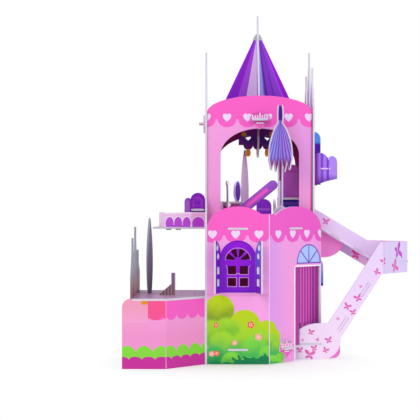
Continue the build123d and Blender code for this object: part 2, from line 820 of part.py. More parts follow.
floor_gap = 2 * slip
landing_edge_x = landing_fold_x - floor_gap
wall_inset = half + slip
edge_inset = (wall_inset - floor_gap * chamfer_sin) / chamfer_cos
tab_from = face_end - landing_tab + slip
tip_along = (lane + half * chamfer_cos) / chamfer_sin
with BuildPart() as landing_floor:
    with BuildSketch(Plane.XY.offset(landing_z - half)):
        with BuildLine():
            Polyline((landing_edge_x, slide_front_y + edge_inset), landing_point(tab_from, wall_inset),
                     landing_point(tab_from, -half), landing_point(tip_along, -half),
                     landing_point(tab_from, -half, -1), landing_point(tab_from, wall_inset, -1),
                     (landing_edge_x, lane_back_y - edge_inset), close=True)
        make_face()
    extrude(amount=board)
landing_floor.part.label = "landing_floor"

# Level end of the slide: a strip through the doorway and the full lane outside it
strip_right = slide_floor_end - floor_gap
with BuildPart() as slide_end_floor:
    with BuildSketch(Plane.XY.offset(slide_floor_z - half)):
        with Locations((slide_door_x, slide_front_y + wall_inset)):
            Rectangle(strip_right - slide_door_x, slide_strip - wall_inset, align=(Align.MIN, Align.MIN))
        with Locations((strip_right, slide_front_y + wall_inset)):
            Rectangle(rail_below, lane_clear, align=(Align.MAX, Align.MIN))
        tab(strip_tab_x, slide_front_y, 0, slide_strip_tab)
    extrude(amount=board)
slide_end_floor.part.label = "slide_end_floor"

# Pink foot under the end of the slide
foot_right = slide_floor_end + foot_reach
foot_left = wall_face + board
foot_round = foot_corner * (1 - turn_cos)
foot_under = slide_floor_z - half
with BuildPart() as slide_foot:
    with BuildSketch(upright(0, slide_front_y + slide_strip - half)):
        with BuildLine():
            Polyline((foot_right, foot_corner), (foot_right, lower_floor_under(foot_right)),
                     (slide_floor_end + board, foot_under), (foot_left, foot_under), (foot_left, 0),
                     (foot_right - foot_corner, 0))
            ThreePointArc((foot_right - foot_corner, 0), (foot_right - foot_round, foot_round),
                          (foot_right, foot_corner))
        make_face()
    extrude(amount=half, both=True)
slide_foot.part.label = "slide_foot"

# Corbel under the head of the slide
corbel_left = wall_face + slip
corbel_end = corbel_left + corbel_length
corbel_under = half / math.cos(upper_angle) + slip
corbel_low = upper_floor_z - corbel_under - corbel_depth
corbel_edge = upper_line(corbel_end, -corbel_under)
with BuildPart() as slide_corbel:
    with BuildSketch(upright(0, lane_middle_y + lane / 4)):
        with BuildLine():
            Polyline((corbel_end, corbel_edge), (upper_ramp_start, upper_floor_z - corbel_under),
                     (corbel_left, upper_floor_z - corbel_under), (corbel_left, corbel_low),
                     (corbel_left + corbel_length / 4, corbel_low))
            ThreePointArc((corbel_left + corbel_length / 4, corbel_low),
                          (corbel_end - corbel_length / 5, corbel_low + corbel_depth / 6),
                          (corbel_end, corbel_edge))
        make_face()
    extrude(amount=half, both=True)
slide_corbel.part.label = "slide_corbel"

# Balcony floor, held by its tab in the left wall
balcony_right = left_wall_x - half - slip
rail_y = balcony_front_y + rail_setback
rail_corner = balcony_left + balcony_reach * 0.22
rail_bend = balcony_left + balcony_reach * 0.74
rail_tabs = (rail_corner + rail_tab * 0.8, rail_corner + rail_tab * 2.6)
with BuildPart() as balcony_floor:
    with BuildSketch(Plane.XY.offset(upper_floor_z - half)):
        with Locations((balcony_left, balcony_front_y)):
            Rectangle(balcony_right - balcony_left, balcony_depth, align=(Align.MIN, Align.MIN))
        tab(left_wall_x, (balcony_front_y + balcony_back_y) / 2, 90)
        with Locations(*[(x, rail_y) for x in rail_tabs]):
            Rectangle(rail_tab + 2 * slip, slot, mode=Mode.SUBTRACT)
    extrude(amount=board)
balcony_floor.part.label = "balcony_floor"


def turn_of(start, end):
    return math.degrees(math.atan2(end[1] - start[1], end[0] - start[0]))


def bowed_face(start, end, bottoms, tops, bow):
    """One face of a folded board: its bottom and top heights at both ends, and a bowed top edge."""
    length = math.dist(start, end)
    with BuildSketch(upright(*start, turn_of(start, end))) as face:
        with BuildLine():
            Polyline((0, tops[0]), (0, bottoms[0]), (length, bottoms[1]), (length, tops[1]))
            ThreePointArc((length, tops[1]), (length / 2, (tops[0] + tops[1]) / 2 + bow), (0, tops[0]))
        make_face()
    extrude(face.sketch, amount=half, both=True)


def straight_face(start, end, bottom, top):
    length = math.dist(start, end)
    with BuildSketch(upright(*start, turn_of(start, end))) as face:
        with Locations((length / 2, (bottom + top) / 2)):
            Rectangle(length, top - bottom)
    extrude(face.sketch, amount=half, both=True)


# Balcony rail: one board folded round the front of the balcony, with tabs through the floor
rail_path = ((rail_corner - rail_tab, rail_y + balcony_depth * 0.4), (rail_corner, rail_y), (rail_bend, rail_y),
             (balcony_right - 2 * slip, rail_y + rail_tab))
with BuildPart() as balcony_rail:
    for start, end in zip(rail_path, rail_path[1:]):
        straight_face(start, end, upper_floor_top, rail_top)
    for x, y in rail_path[1:-1]:
        fold_post(x, y, upper_floor_top, rail_top)
    with BuildSketch(upright(0, rail_y)):
        with Locations(*[(x, upper_floor_top) for x in rail_tabs]):
            Rectangle(rail_tab, 3 * board)
    extrude(amount=half, both=True)
balcony_rail.part.label = "balcony_rail"

# High-backed seat on the balcony, with a level board that tabs through its back
seat_y = balcony_front_y + balcony_depth * 0.36
seat_fold = (balcony_right - seat_width, seat_y)
seat_middle = balcony_right - seat_width / 2
seat_board_z = rail_top + seat_board_step
seat_top = upper_floor_top + seat_height
with BuildPart() as balcony_seat:
    seat_bottoms = (upper_floor_top, upper_floor_top)
    seat_tops = (seat_top - seat_bow / 4, seat_top - seat_bow / 4)
    bowed_face((seat_fold[0] - seat_turn, seat_y + seat_depth), seat_fold, seat_bottoms, seat_tops, seat_bow / 2)
    bowed_face(seat_fold, (balcony_right, seat_y), seat_bottoms, (seat_top, seat_top), seat_bow)
    fold_post(*seat_fold, upper_floor_top, seat_top - seat_bow / 4)
    with BuildSketch(upright(0, seat_y)):
        with Locations((seat_middle, seat_board_z)):
            Rectangle(seat_tab + 2 * slip, slot)
    extrude(amount=board, both=True, mode=Mode.SUBTRACT)
balcony_seat.part.label = "balcony_seat"

with BuildPart() as balcony_seat_board:
    with BuildSketch(Plane.XY.offset(seat_board_z - half)):
        with Locations((seat_middle, seat_y - half - slip)):
            Rectangle(seat_width - board, seat_board_depth, align=(Align.CENTER, Align.MAX))
        tab(seat_middle, seat_y, 180, seat_tab)
    extrude(amount=board)
balcony_seat_board.part.label = "balcony_seat_board"

# Bay on the right wall: one folded, ribbed board with a scalloped top and a tapered foot
bay_left = wall_face + slip
bay_back_y = bay_y + bay_depth
bay_path = ((bay_left, bay_y), (bay_left + bay_face, bay_y),
            (bay_left + bay_face + bay_corner, bay_y + bay_corner_depth),
            (bay_left + bay_face + bay_corner, bay_back_y - bay_corner_depth), (bay_left + bay_face, bay_back_y),
            (bay_left, bay_back_y))
bay_shares = (0, 0.7, 1, 1, 0.7, 0)
bay_bottoms = [upper_floor_z + bay_bottom_step + share * bay_foot_taper for share in bay_shares]
bay_tops = [upper_floor_z + bay_top_step - share * bay_crown_taper for share in bay_shares]
with BuildPart() as bay:
    for i in range(5):
        bowed_face(bay_path[i], bay_path[i + 1], bay_bottoms[i:i + 2], bay_tops[i:i + 2], bay_bow)
    for i in range(1, 5):
        fold_post(*bay_path[i], bay_bottoms[i], bay_tops[i])
bay.part.label = "bay"


def shutter(y, reach, bottom, height):
    """A shutter that stands out square from the right wall, with a round outer top corner."""
    with BuildPart() as piece:
        with BuildSketch(upright(wall_face + slip, y)):
            with Locations((0, bottom)):
                Rectangle(reach, height - reach, align=(Align.MIN, Align.MIN))
            with BuildLine():
                Polyline((reach, bottom + height - reach), (0, bottom + height - reach), (0, bottom + height))
                EllipticalCenterArc((0, bottom + height - reach), reach, reach, start_angle=0, arc_size=90)
            make_face()
        extrude(amount=half, both=True)
    return piece


upper_shutter_z = upper_floor_z + upper_shutter_step
upper_shutters = [shutter(y, upper_shutter_reach, upper_shutter_z, upper_shutter_height)
                  for y in (bay_y + shutter_inset, bay_back_y - shutter_inset)]
lower_shutter_z = upper_floor_z - lower_shutter_drop
lower_shutters = [shutter(y, lower_shutter_reach, lower_shutter_z, lower_shutter_height)
                  for y in (bay_y - 2 * shutter_inset, bay_back_y - 3 * shutter_inset)]
for place, piece in zip(("front", "back"), upper_shutters):
    piece.part.label = "upper_shutter_" + place
for place, piece in zip(("front", "back"), lower_shutters):
    piece.part.label = "lower_shutter_" + place

# Canopy on the terrace: two boards that cross, each a pleated bell on a pole with a round foot
canopy_peak = upper_floor_z + canopy_height
canopy_hem = canopy_peak - canopy_drop
canopy_lap_z = canopy_hem + board
strand = 2 * canopy_half / canopy_strands


def canopy_outline():
    with BuildLine() as outline:
        waist = (canopy_half * 0.72, canopy_hem + canopy_drop * 0.6)
        ThreePointArc((-canopy_half, canopy_hem), (-waist[0], waist[1]), (0, canopy_peak))
        ThreePointArc((0, canopy_peak), waist, (canopy_half, canopy_hem))
        Line((canopy_half, canopy_hem), (-canopy_half, canopy_hem))
    make_face(outline.edges())
    for i in range(canopy_strands):
        middle = (i + 0.5) * strand - canopy_half
        low = canopy_hem - canopy_point + abs(middle) * 0.3
        with BuildLine() as outline:
            Polyline((middle - strand / 2, canopy_hem + slip), (middle, low),
                     (middle + strand / 2, canopy_hem + slip), close=True)
        make_face(outline.edges())
    ear_z = canopy_peak + canopy_ear / 2
    with Locations((-canopy_ear / 5, ear_z + slip), (canopy_ear / 5, ear_z)):
        Ellipse(canopy_ear * 0.18, canopy_ear)
    with Locations((0, upper_floor_top)):
        Rectangle(canopy_pole, canopy_hem + canopy_drop / 2 - upper_floor_top, align=(Align.CENTER, Align.MIN))
    half_arch(2 * canopy_foot, upper_floor_top, canopy_foot_rise)


def crossed(x, y, turn, draw, lap_z, opens_up):
    """One of two crossing boards; its slot runs from the lap to the top or to the foot."""
    side = Align.MIN if opens_up else Align.MAX
    with BuildPart() as piece:
        with BuildSketch(upright(x, y, turn)):
            draw()
            with Locations((0, lap_z)):
                Rectangle(slot, roof_neck_z, align=(Align.CENTER, side), mode=Mode.SUBTRACT)
        extrude(amount=half, both=True)
    return piece


canopy_front = crossed(canopy_x, canopy_y, canopy_turn, canopy_outline, canopy_lap_z, True)
canopy_front.part.label = "canopy_front"
canopy_cross = crossed(canopy_x, canopy_y, canopy_turn + 90, canopy_outline, canopy_lap_z, False)
canopy_cross.part.label = "canopy_cross"


def flat_piece(plane, draw):
    """One flat board with the outline that draw() makes."""
    with BuildPart() as piece:
        with BuildSketch(plane):
            draw()
        extrude(amount=half, both=True)
    return piece


def arched_board(width, height, rise):
    """A board that stands on the upper floor, with a half-ellipse top."""
    with Locations((0, upper_floor_top)):
        Rectangle(width, height - rise, align=(Align.CENTER, Align.MIN))
    half_arch(width, upper_floor_top + height - rise, rise)


def stool_outline():
    """A round-topped board with an arched gap between its legs."""
    arched_board(stool_width, stool_height, stool_width / 2)
    with Locations((0, upper_floor_top)):
        Ellipse(stool_width * 0.28, stool_width * 0.18, mode=Mode.SUBTRACT)


def spot(across, back):
    """A plan point in the tower room, as shares of its width and depth."""
    return (tower_left + tower_width * across, tower_front_y + tower_depth * back)


def lounge_outline():
    with Locations((0, upper_floor_top + lounge_mid_step)):
        SlotOverall(lounge_length, lounge_width, rotation=lounge_lean)
    with Locations((0, upper_floor_top)):
        Rectangle(4 * lounge_length, lounge_length, align=(Align.CENTER, Align.MAX), mode=Mode.SUBTRACT)


def leg_outline():
    arched_board(leg_width, leg_height, leg_width / 2)


def table_front(width, height):
    """An upright front with an arched gap at its foot and two tabs for its top."""
    with Locations((0, upper_floor_top)):
        Rectangle(width, height, align=(Align.CENTER, Align.MIN))
        Ellipse(width * 0.3, width * 0.2, mode=Mode.SUBTRACT)
    with Locations((0, upper_floor_top + height)):
        with GridLocations(width / 2, 1, 2, 1):
            Rectangle(table_tab, 2 * board)


def table_top(middle, width, height):
    """A level board that lies on a table front, with slots for its tabs."""
    with BuildPart() as piece:
        with BuildSketch(Plane.XY.offset(upper_floor_top + height)):
            with Locations(middle):
                Rectangle(width, table_depth)
                with GridLocations(width / 2, 1, 2, 1):
                    Rectangle(table_tab + 2 * slip, slot, mode=Mode.SUBTRACT)
        extrude(amount=board)
    return piece


def mirror_outline():
    arched_board(mirror_width * 0.4, mirror_height - mirror_width, mirror_width / 5)
    with Locations((0, upper_floor_top + mirror_height - mirror_width * 0.8)):
        Ellipse(mirror_width / 2, mirror_width * 0.8)


def flower_outline():
    with Locations((0, upper_floor_top)):
        Rectangle(flower_stem, flower_height, align=(Align.CENTER, Align.MIN))
    with Locations((0, upper_floor_top + flower_height)):
        RegularPolygon(flower_head, 6)
    with Locations((flower_head / 2, upper_floor_top + flower_height / 2)):
        Ellipse(flower_head, flower_stem)


def cypress(foot_z, height, width):
    """A slim tree with bowed sides."""
    foot = width / 4
    belly = foot_z + height * 0.45
    with BuildLine() as outline:
        ThreePointArc((-foot, foot_z), (-width / 2, belly), (0, foot_z + height))
        ThreePointArc((0, foot_z + height), (width / 2, belly), (foot, foot_z))
        Line((foot, foot_z), (-foot, foot_z))
    make_face(outline.edges())


# Furniture in the tower room; each upright board stands on the upper floor
dresser_spot = spot(0.235, 0.425)
bench_spot = spot(0.804, 0.368)
furniture = {
    "lounge_board": flat_piece(upright(*spot(0.408, 0.283)), lounge_outline),
    "lounge_leg": flat_piece(upright(*spot(0.55, 0.247)), leg_outline),
    "dresser_front": flat_piece(upright(*dresser_spot), lambda: table_front(dresser_width, dresser_height)),
    "dresser_top": table_top(dresser_spot, dresser_width, dresser_height),
    "dresser_mirror": flat_piece(upright(*spot(0.296, 0.511), 62), mirror_outline),
    "flower": flat_piece(upright(*spot(0.2, 0.31), 60), flower_outline),
    "footstool": flat_piece(upright(*spot(0.1, 0.311), 20), stool_outline),
    "bench_front": flat_piece(upright(*bench_spot), lambda: table_front(bench_width, bench_height)),
    "bench_top": table_top(bench_spot, bench_width, bench_height),
    "bench_side": flat_piece(upright(*spot(0.666, 0.489), 90), leg_outline),
    "wardrobe": flat_piece(upright(*spot(0.833, 0.582)),
                           lambda: arched_board(wardrobe_width, wardrobe_height, wardrobe_width / 3)),
    "room_tree": flat_piece(upright(*spot(0.383, 0.866), 62),
                            lambda: cypress(upper_floor_top, room_tree_height, room_tree_width)),
}
for name, piece in furniture.items():
    piece.part.label = name

# Left wing: a low front wall folded once, a side wall with spires, and a deck on top
wing_start = (left_wall_x - half - slip - half * turn_sin, -half / 2)
wing_run = wing_start[1] - wing_front_y
wing_fold = (wing_start[0] - wing_run, wing_front_y)
deck_z = wing_height - board
deck_left = wing_side_x + half + slip
deck_right = left_wall_x - half - slip
corner_in = wing_corner * (1 - turn_cos)
with BuildPart() as wing_front_wall:
    straight_face(wing_start, wing_fold, 0, deck_z)
    with BuildSketch(upright(0, wing_front_y)):
        with BuildLine():
            Polyline((wing_left + wing_corner, wing_height), (deck_left - slip, wing_height),
                     (deck_left - slip, deck_z), (wing_fold[0], deck_z), (wing_fold[0], 0),
                     (wing_left, 0), (wing_left, wing_height - wing_corner))
            ThreePointArc((wing_left, wing_height - wing_corner), (wing_left + corner_in, wing_height - corner_in),
                          (wing_left + wing_corner, wing_height))
        make_face()
    extrude(amount=half, both=True)
    fold_post(*wing_fold, 0, deck_z)
wing_front_wall.part.label = "wing_front_wall"

side_front = wing_front_y + half + slip
side_top = wing_height + wing_side_step
with BuildPart() as wing_side_wall:
    with BuildSketch(upright(wing_side_x, 0, 90)):
        with BuildLine():
            Polyline((side_front, 0), (wing_back_y, 0), (wing_back_y, side_top), (side_front, side_top),
                     close=True)
        make_face()
        for middle, width, height in wing_spires:
            spire(middle, width, side_top, side_top + height)
        slot_cut(wing_tab_y, deck_z + half)
    extrude(amount=half, both=True)
wing_side_wall.part.label = "wing_side_wall"

outer_fold = (wing_fold[0] + half * math.tan(math.radians(door_wall_turn / 2)), wing_front_y - half)
outer_start = (deck_right, wing_start[1] + deck_right - wing_start[0] - half * math.sqrt(2))
with BuildPart() as wing_deck:
    with BuildSketch(Plane.XY.offset(deck_z)):
        with BuildLine():
            Polyline((deck_left, wing_front_y - half), outer_fold, outer_start, (deck_right, wing_back_y),
                     (deck_left, wing_back_y), close=True)
        make_face()
        tab(wing_side_x, wing_tab_y, -90)
        tab(left_wall_x, wing_tab_y, 90)
    extrude(amount=board)
wing_deck.part.label = "wing_deck"


def stair_outline():
    with BuildLine() as outline:
        Polyline((0, wing_height), (stair_width, wing_height), (stair_width, wing_height + stair_height),
                 (stair_width - stair_post, wing_height + stair_height),
                 (stair_width - stair_post, wing_height + stair_height / 2), close=True)
    make_face(outline.edges())


garden_tree = flat_piece(upright(wing_side_x + garden_tree_step, wing_tab_y, 72),
                         lambda: cypress(wing_height, garden_tree_height, garden_tree_width))
garden_tree.part.label = "garden_tree"
stair_side = flat_piece(upright(wing_side_x + stair_step, stair_y), stair_outline)
stair_side.part.label = "stair_side"

os.makedirs("parts", exist_ok=True)
pieces = [castle_front_wall, window_frame, door_curtain, left_wall, right_wall, tower_front, tower_back,
          ground_floor, upper_floor, tower_ceiling, roof_main, roof_cross, tower_crest, side_crest, door_crest,
          chandelier_front, chandelier_cross, slide_front_wall, slide_middle_wall, slide_back_wall, upper_ramp,
          lower_ramp, landing_floor, slide_end_floor, slide_foot, slide_corbel, balcony_floor, balcony_rail,
          balcony_seat, balcony_seat_board, bay, *upper_shutters, *lower_shutters, canopy_front, canopy_cross,
          *furniture.values(), wing_front_wall, wing_side_wall, wing_deck, garden_tree, stair_side]
for piece in pieces:
    export_step(piece.part, "parts/" + piece.part.label + ".step")
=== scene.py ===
# %% [markdown] A printed play castle of slotted and folded board. Every board is already built in the
# packed model and stays where it is, so no board is modelled again. What this lesson adds is what
# makes plain board look like a printed toy: a shader for each printed side, pale cut edges, soft light
# and a camera. Their box is kept now.

# %% Load the frame
import bpy
import math
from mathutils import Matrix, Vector


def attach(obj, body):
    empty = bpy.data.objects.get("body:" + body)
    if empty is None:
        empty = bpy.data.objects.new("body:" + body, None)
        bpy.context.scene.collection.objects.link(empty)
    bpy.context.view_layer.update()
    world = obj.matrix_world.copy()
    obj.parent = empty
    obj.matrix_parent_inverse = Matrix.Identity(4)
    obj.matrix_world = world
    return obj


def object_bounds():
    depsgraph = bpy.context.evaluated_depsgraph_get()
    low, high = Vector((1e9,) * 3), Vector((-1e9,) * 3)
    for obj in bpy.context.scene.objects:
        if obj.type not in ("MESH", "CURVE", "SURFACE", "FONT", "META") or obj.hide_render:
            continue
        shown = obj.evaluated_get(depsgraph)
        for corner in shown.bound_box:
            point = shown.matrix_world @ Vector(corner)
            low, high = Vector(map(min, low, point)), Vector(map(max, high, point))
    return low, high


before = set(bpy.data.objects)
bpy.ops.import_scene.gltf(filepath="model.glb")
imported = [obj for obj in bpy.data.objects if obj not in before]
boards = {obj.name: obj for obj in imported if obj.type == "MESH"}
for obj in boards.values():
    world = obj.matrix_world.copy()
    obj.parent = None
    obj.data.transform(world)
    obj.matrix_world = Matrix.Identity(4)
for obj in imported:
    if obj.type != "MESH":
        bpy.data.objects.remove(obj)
start_low, start_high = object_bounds()
print("boards:", len(boards), "height:", round(start_high.z - start_low.z, 3), "m")

# %% [markdown]
# A print is placed by its board. So the front's fold, the tower's middle and a few more places are read
# from the boards' own corners. Prints are drawn in millimetres, as a maker would draw them.

# %% Measure a board
MM = 1000.0
HALF_BOARD = 1.25


def reach(node):
    """A board's lowest and highest corner, in millimetres."""
    corners = [vertex.co * MM for vertex in boards[node].data.vertices]
    low = Vector([min(corner[axis] for corner in corners) for axis in range(3)])
    high = Vector([max(corner[axis] for corner in corners) for axis in range(3)])
    return low, high


def middle_of(node):
    low, high = reach(node)
    return (low + high) / 2


BAY_FOLD = -reach("castle_front_wall")[0].x
TOWER_X = middle_of("roof_main").x
TOWER_Y = middle_of("roof_cross").y
print("tower middle:", round(TOWER_X, 2), round(TOWER_Y, 2), "mm")

# %% [markdown]
# The castle is printed in pinks, lilacs and purples, with a green hedge at its foot. The inks are
# written as screen colours, because those are easy to compare with a picture. Shaders work with light,
# so each ink is turned into a linear colour where it is used.

# %% Inks
PALETTE = {
    "white": "f3eef7", "edge": "cfccd8", "core": "bfb8c4", "fold": "ecc9f2", "crease": "7a5f96",
    "hot": "ef5cbf", "hot_turned": "e85ac4", "hot_shade": "e0389f", "rose": "e88ec6", "heart": "e4d2ef",
    "body_low": "ee9cde", "body_high": "ee9eda", "body_lilac": "d898e4",
    "tower_low": "f19ad6", "tower_high": "eb9ad8", "tower_side": "dc96dc",
    "plum": "9a2c76", "plum_dark": "5e1f4c", "plum_glow": "8e1866", "magenta": "c02b95",
    "purple": "7f20c0", "purple_deep": "5b1a98", "purple_mid": "9650cb", "violet": "6a3ab0",
    "lilac": "caa2e0", "lilac_pale": "e3c6f3", "grey_lilac": "bba0c2", "blue_violet": "7069dd",
    "sky": "aec4fb", "blue": "5588d8", "indigo": "3c2f9a", "periwinkle": "9a84dc",
    "leaf_light": "b4cc14", "leaf_warm": "9bcf2a", "leaf": "7fd23c", "leaf_deep": "3fb254",
    "leaf_dark": "0e7a48", "leaf_olive": "7c9a24", "moss": "5cae30",
    "coral": "eb505a", "petal": "f49a9c", "pollen": "fbd9b0",
    "frame": "8e08d4", "frame_low": "780fc4", "pane": "c888cc",
    "curtain": "cc4aae", "curtain_dark": "80217e", "curtain_light": "d27cc8", "curtain_side": "ac4096",
    "roof": "9706d2", "roof_mid": "a648d6", "roof_deep": "6a2ab4", "roof_side": "8f38cf",
    "roof_lilac": "e8cbf0", "roof_pale": "e6cdf2", "roof_blue": "b4aef4",
    "floor_tile": "d9c6da", "terrace_tile": "c7aeca", "mauve": "84618c", "grey_mauve": "9a8fa6",
    "slide": "e2ccf0", "slide_pale": "ecd6f0", "landing": "d8c8f0", "blush": "ffd2ee",
    "butterfly": "d964b0", "outline": "b0347f", "glade": "bc4cc4", "wasp": "f850a4",
    "raspberry": "eb508c", "corbel": "ff98de", "foot": "ff84dc",
    "canopy": "807ad0", "canopy_deep": "6a4fc0", "canopy_light": "b7a6ee", "canopy_side": "9a78d8",
    "canopy_shade": "6a3ab0", "canopy_glow": "b795e8", "pole": "cfcadc", "pole_side": "a24cc4",
    "berry": "8e2a86", "wine": "7a1590", "bay": "a26cea", "bay_light": "ac82ee", "bay_dark": "5a28a6",
    "awning": "4f97ee", "awning_deep": "4a00a8",
    "rail": "edc6ea", "arch": "b84bd6", "seat_dark": "8414bc", "seat_light": "9a38be",
    "salmon": "e897b6", "gold": "d98a1f", "rust": "8a5a5e", "steel": "8f949f", "slate": "565468",
    "deck": "aa80a8", "mauve_pink": "dcaede", "ash": "dfc6e6",
    "lounge": "8f52c0", "orchid": "d04cc8", "wardrobe": "8e3e92", "glow": "ffb040",
}


def ink(name):
    """An ink as a linear colour."""
    code = PALETTE[name]
    parts = [int(code[start:start + 2], 16) / 255 for start in (0, 2, 4)]
    linear = [part / 12.92 if part <= 0.04045 else ((part + 0.055) / 1.055) ** 2.4 for part in parts]
    return (*linear, 1.0)


print("inks:", len(PALETTE))

# %% [markdown]
# A printed side could be a picture laid on with UVs, but a picture has a fixed sharpness and has to be
# stored. Here each side is one shader instead, drawn on a flat sheet with u along the board and v up.
# The sheet is worked out from Object coordinates, which are the castle's own place in metres, so a
# print stays sharp and stays put. This first cell only holds the tools that add and join nodes.

# %% Sheet


class Sheet:
    """The flat sheet of one printed side, and the tools that put nodes into its shader."""

    def __init__(self, name, base, x=0.0, y=0.0, turn=0.0, flat=False):
        self.material = bpy.data.materials.new(name)
        self.material.use_nodes = True
        self.tree = self.material.node_tree
        self.shader = self.tree.nodes["Principled BSDF"]
        self.coord = self.add("ShaderNodeTexCoord").outputs["Object"]
        angle = math.radians(turn)
        along = (MM, 0, 0) if flat else (MM * math.cos(angle), MM * math.sin(angle), 0)
        up = (0, MM, 0) if flat else (0, 0, MM)
        shift = x if flat else x * math.cos(angle) + y * math.sin(angle)
        self.u = self.maths("SUBTRACT", self.dot(along), shift)
        self.v = self.maths("SUBTRACT", self.dot(up), y if flat else 0.0)
        self.sheet = self.join(self.u, self.v)
        self.colour = ink(base)

    def add(self, kind, **settings):
        node = self.tree.nodes.new(kind)
        for key, value in settings.items():
            setattr(node, key, value)
        return node

    def put(self, socket, value):
        """Links a value that comes from a node, and writes any other."""
        if isinstance(value, bpy.types.NodeSocket):
            self.tree.links.new(value, socket)
        else:
            socket.default_value = value

    def maths(self, operation, *values):
        node = self.add("ShaderNodeMath", operation=operation)
        for socket, value in zip(node.inputs, values):
            self.put(socket, value)
        return node.outputs[0]

    def vector(self, operation, *values):
        node = self.add("ShaderNodeVectorMath", operation=operation)
        for socket, value in zip(node.inputs, values):
            self.put(socket, value)
        return node.outputs[0]

    def measure(self, operation, *values):
        """A vector sum that gives one number, such as a length."""
        return self.vector(operation, *values).node.outputs["Value"]

    def dot(self, direction):
        return self.measure("DOT_PRODUCT", self.coord, direction)

    def join(self, u, v):
        node = self.add("ShaderNodeCombineXYZ")
        self.put(node.inputs[0], u)
        self.put(node.inputs[1], v)
        return node.outputs[0]

    def split(self, vector):
        node = self.add("ShaderNodeSeparateXYZ")
        self.put(node.inputs[0], vector)
        return node.outputs[0], node.outputs[1]


print("sheet tools:", [tool for tool in vars(Sheet) if not tool.startswith("_")])

# %% [markdown]
# Three small patterns come back in almost every print: clouds from a noise, a run from 0 to 1 over some
# stretch, and a blend of two colours. Each is one node with its sockets filled in.

# %% Patterns


class Patterns(Sheet):
    """Clouds, runs and blends."""

    def noise(self, scale, detail=2.0):
        node = self.add("ShaderNodeTexNoise")
        self.put(node.inputs["Vector"], self.coord)
        node.inputs["Scale"].default_value = scale
        node.inputs["Detail"].default_value = detail
        return node.outputs["Fac"]

    def ramp(self, value, start, end, soft=False):
        """0 at start and 1 at end, with a straight or a soft run between."""
        node = self.add("ShaderNodeMapRange", interpolation_type="SMOOTHSTEP" if soft else "LINEAR")
        self.put(node.inputs["Value"], value)
        node.inputs["From Min"].default_value = start
        node.inputs["From Max"].default_value = end
        return node.outputs["Result"]

    def blend(self, factor, first, second):
        node = self.add("ShaderNodeMix", data_type="RGBA")
        self.put(node.inputs["Factor"], factor)
        self.put(node.inputs["A"], first)
        self.put(node.inputs["B"], second)
        return node.outputs["Result"]


print("patterns:", [tool for tool in vars(Patterns) if not tool.startswith("_")])

# %% [markdown]
# The press lays one ink over another. So a shape is a mask, 1 inside and 0 outside, and laying it
# mixes one more ink over what is there. A shape is worked out at its own centre with its half size
# as 1, and a Wrap before that repeats it, which costs no more than drawing it once.

# %% Plain shapes
WIDE = 500.0
ONCE = 900.0


class Shapes(Patterns):
    """Plain shapes. WIDE reaches past any board, and a repeat of ONCE shows a shape only once."""

    def lay(self, mask, name, strength=1.0):
        """One more ink where the mask is 1. A colour that varies may stand in for the ink's name."""
        if strength != 1.0:
            mask = self.maths("MULTIPLY", mask, strength)
        self.colour = self.blend(mask, self.colour, ink(name) if isinstance(name, str) else name)
        return self

    def place(self, centre, size, every=None, turn=0.0):
        """The sheet as seen from a shape: its centre at 0 and its half size at 1, repeated where asked."""
        at = self.vector("SUBTRACT", self.sheet, (*centre, 0))
        if every:
            half = (every[0] / 2, every[1] / 2, 1)
            at = self.vector("WRAP", at, half, [-value for value in half])
        if turn:
            rotate = self.add("ShaderNodeVectorRotate", rotation_type="Z_AXIS")
            self.put(rotate.inputs["Vector"], at)
            rotate.inputs["Angle"].default_value = -math.radians(turn)
            at = rotate.outputs[0]
        return self.vector("DIVIDE", at, (*size, 1))

    def inside(self, place):
        return self.maths("LESS_THAN", self.measure("LENGTH", place), 1.0)

    def within(self, place):
        """The mask of the upright rectangle that the same place describes."""
        across, up = self.split(self.vector("ABSOLUTE", place))
        return self.maths("LESS_THAN", self.maths("MAXIMUM", across, up), 1.0)

    def box_mask(self, u0, u1, v0, v1):
        return self.within(self.place(((u0 + u1) / 2, (v0 + v1) / 2), ((u1 - u0) / 2, (v1 - v0) / 2)))

    def box(self, name, u0, u1, v0, v1, strength=1.0):
        return self.lay(self.box_mask(u0, u1, v0, v1), name, strength)

    def disc(self, name, centre, size, every=None):
        return self.lay(self.inside(self.place(centre, size, every)), name)

    def half_disc(self, name, centre, size):
        """The part of a disc above its own centre."""
        above = self.maths("GREATER_THAN", self.v, centre[1])
        return self.lay(self.maths("MULTIPLY", self.inside(self.place(centre, size)), above), name)

    def line(self, name, centre, half_length, half_width, turn, strength=1.0):
        """A straight line about a centre, turned on the sheet."""
        mask = self.within(self.place(centre, (half_length, half_width), turn=turn))
        return self.lay(mask, name, strength)


print("plain shapes:", [tool for tool in vars(Shapes) if not tool.startswith("_")])

# %% [markdown]
# Light falls softly on a print, so inks also come and go without an edge. A fade is a run along u or v.
# Stripes fold u up into a zigzag and ink its low part, and pleats do the same with a soft run. A field
# is any other mask, and an ink that is multiplied by it stays inside.

# %% Fades and stripes


class Fades(Shapes):
    """Inks that come and go along the sheet."""

    def fade(self, name, start, end, across=False, field=None):
        """An ink that grows from nothing at start to full at end, upwards or across, inside a field."""
        mask = self.ramp(self.u if across else self.v, start, end)
        return self.lay(self.maths("MULTIPLY", mask, field) if field else mask, name)

    def stripes(self, name, width, share, strength=1.0, lean=0.0):
        """Upright stripes, or leaning ones. The share is the inked part of each."""
        across = self.maths("ADD", self.u, self.maths("MULTIPLY", self.v, lean))
        wave = self.maths("PINGPONG", across, width / 2)
        return self.lay(self.maths("LESS_THAN", wave, share * width / 2), name, strength)

    def pleats(self, name, width, low, high, shift=0.0, strength=1.0, field=None):
        """Soft upright pleats: an ink that comes and goes over each width."""
        wave = self.maths("PINGPONG", self.maths("SUBTRACT", self.u, shift), width / 2)
        mask = self.ramp(wave, low * width / 2, high * width / 2, soft=True)
        return self.lay(self.maths("MULTIPLY", mask, field) if field else mask, name, strength)


print("fades:", [tool for tool in vars(Fades) if not tool.startswith("_")])

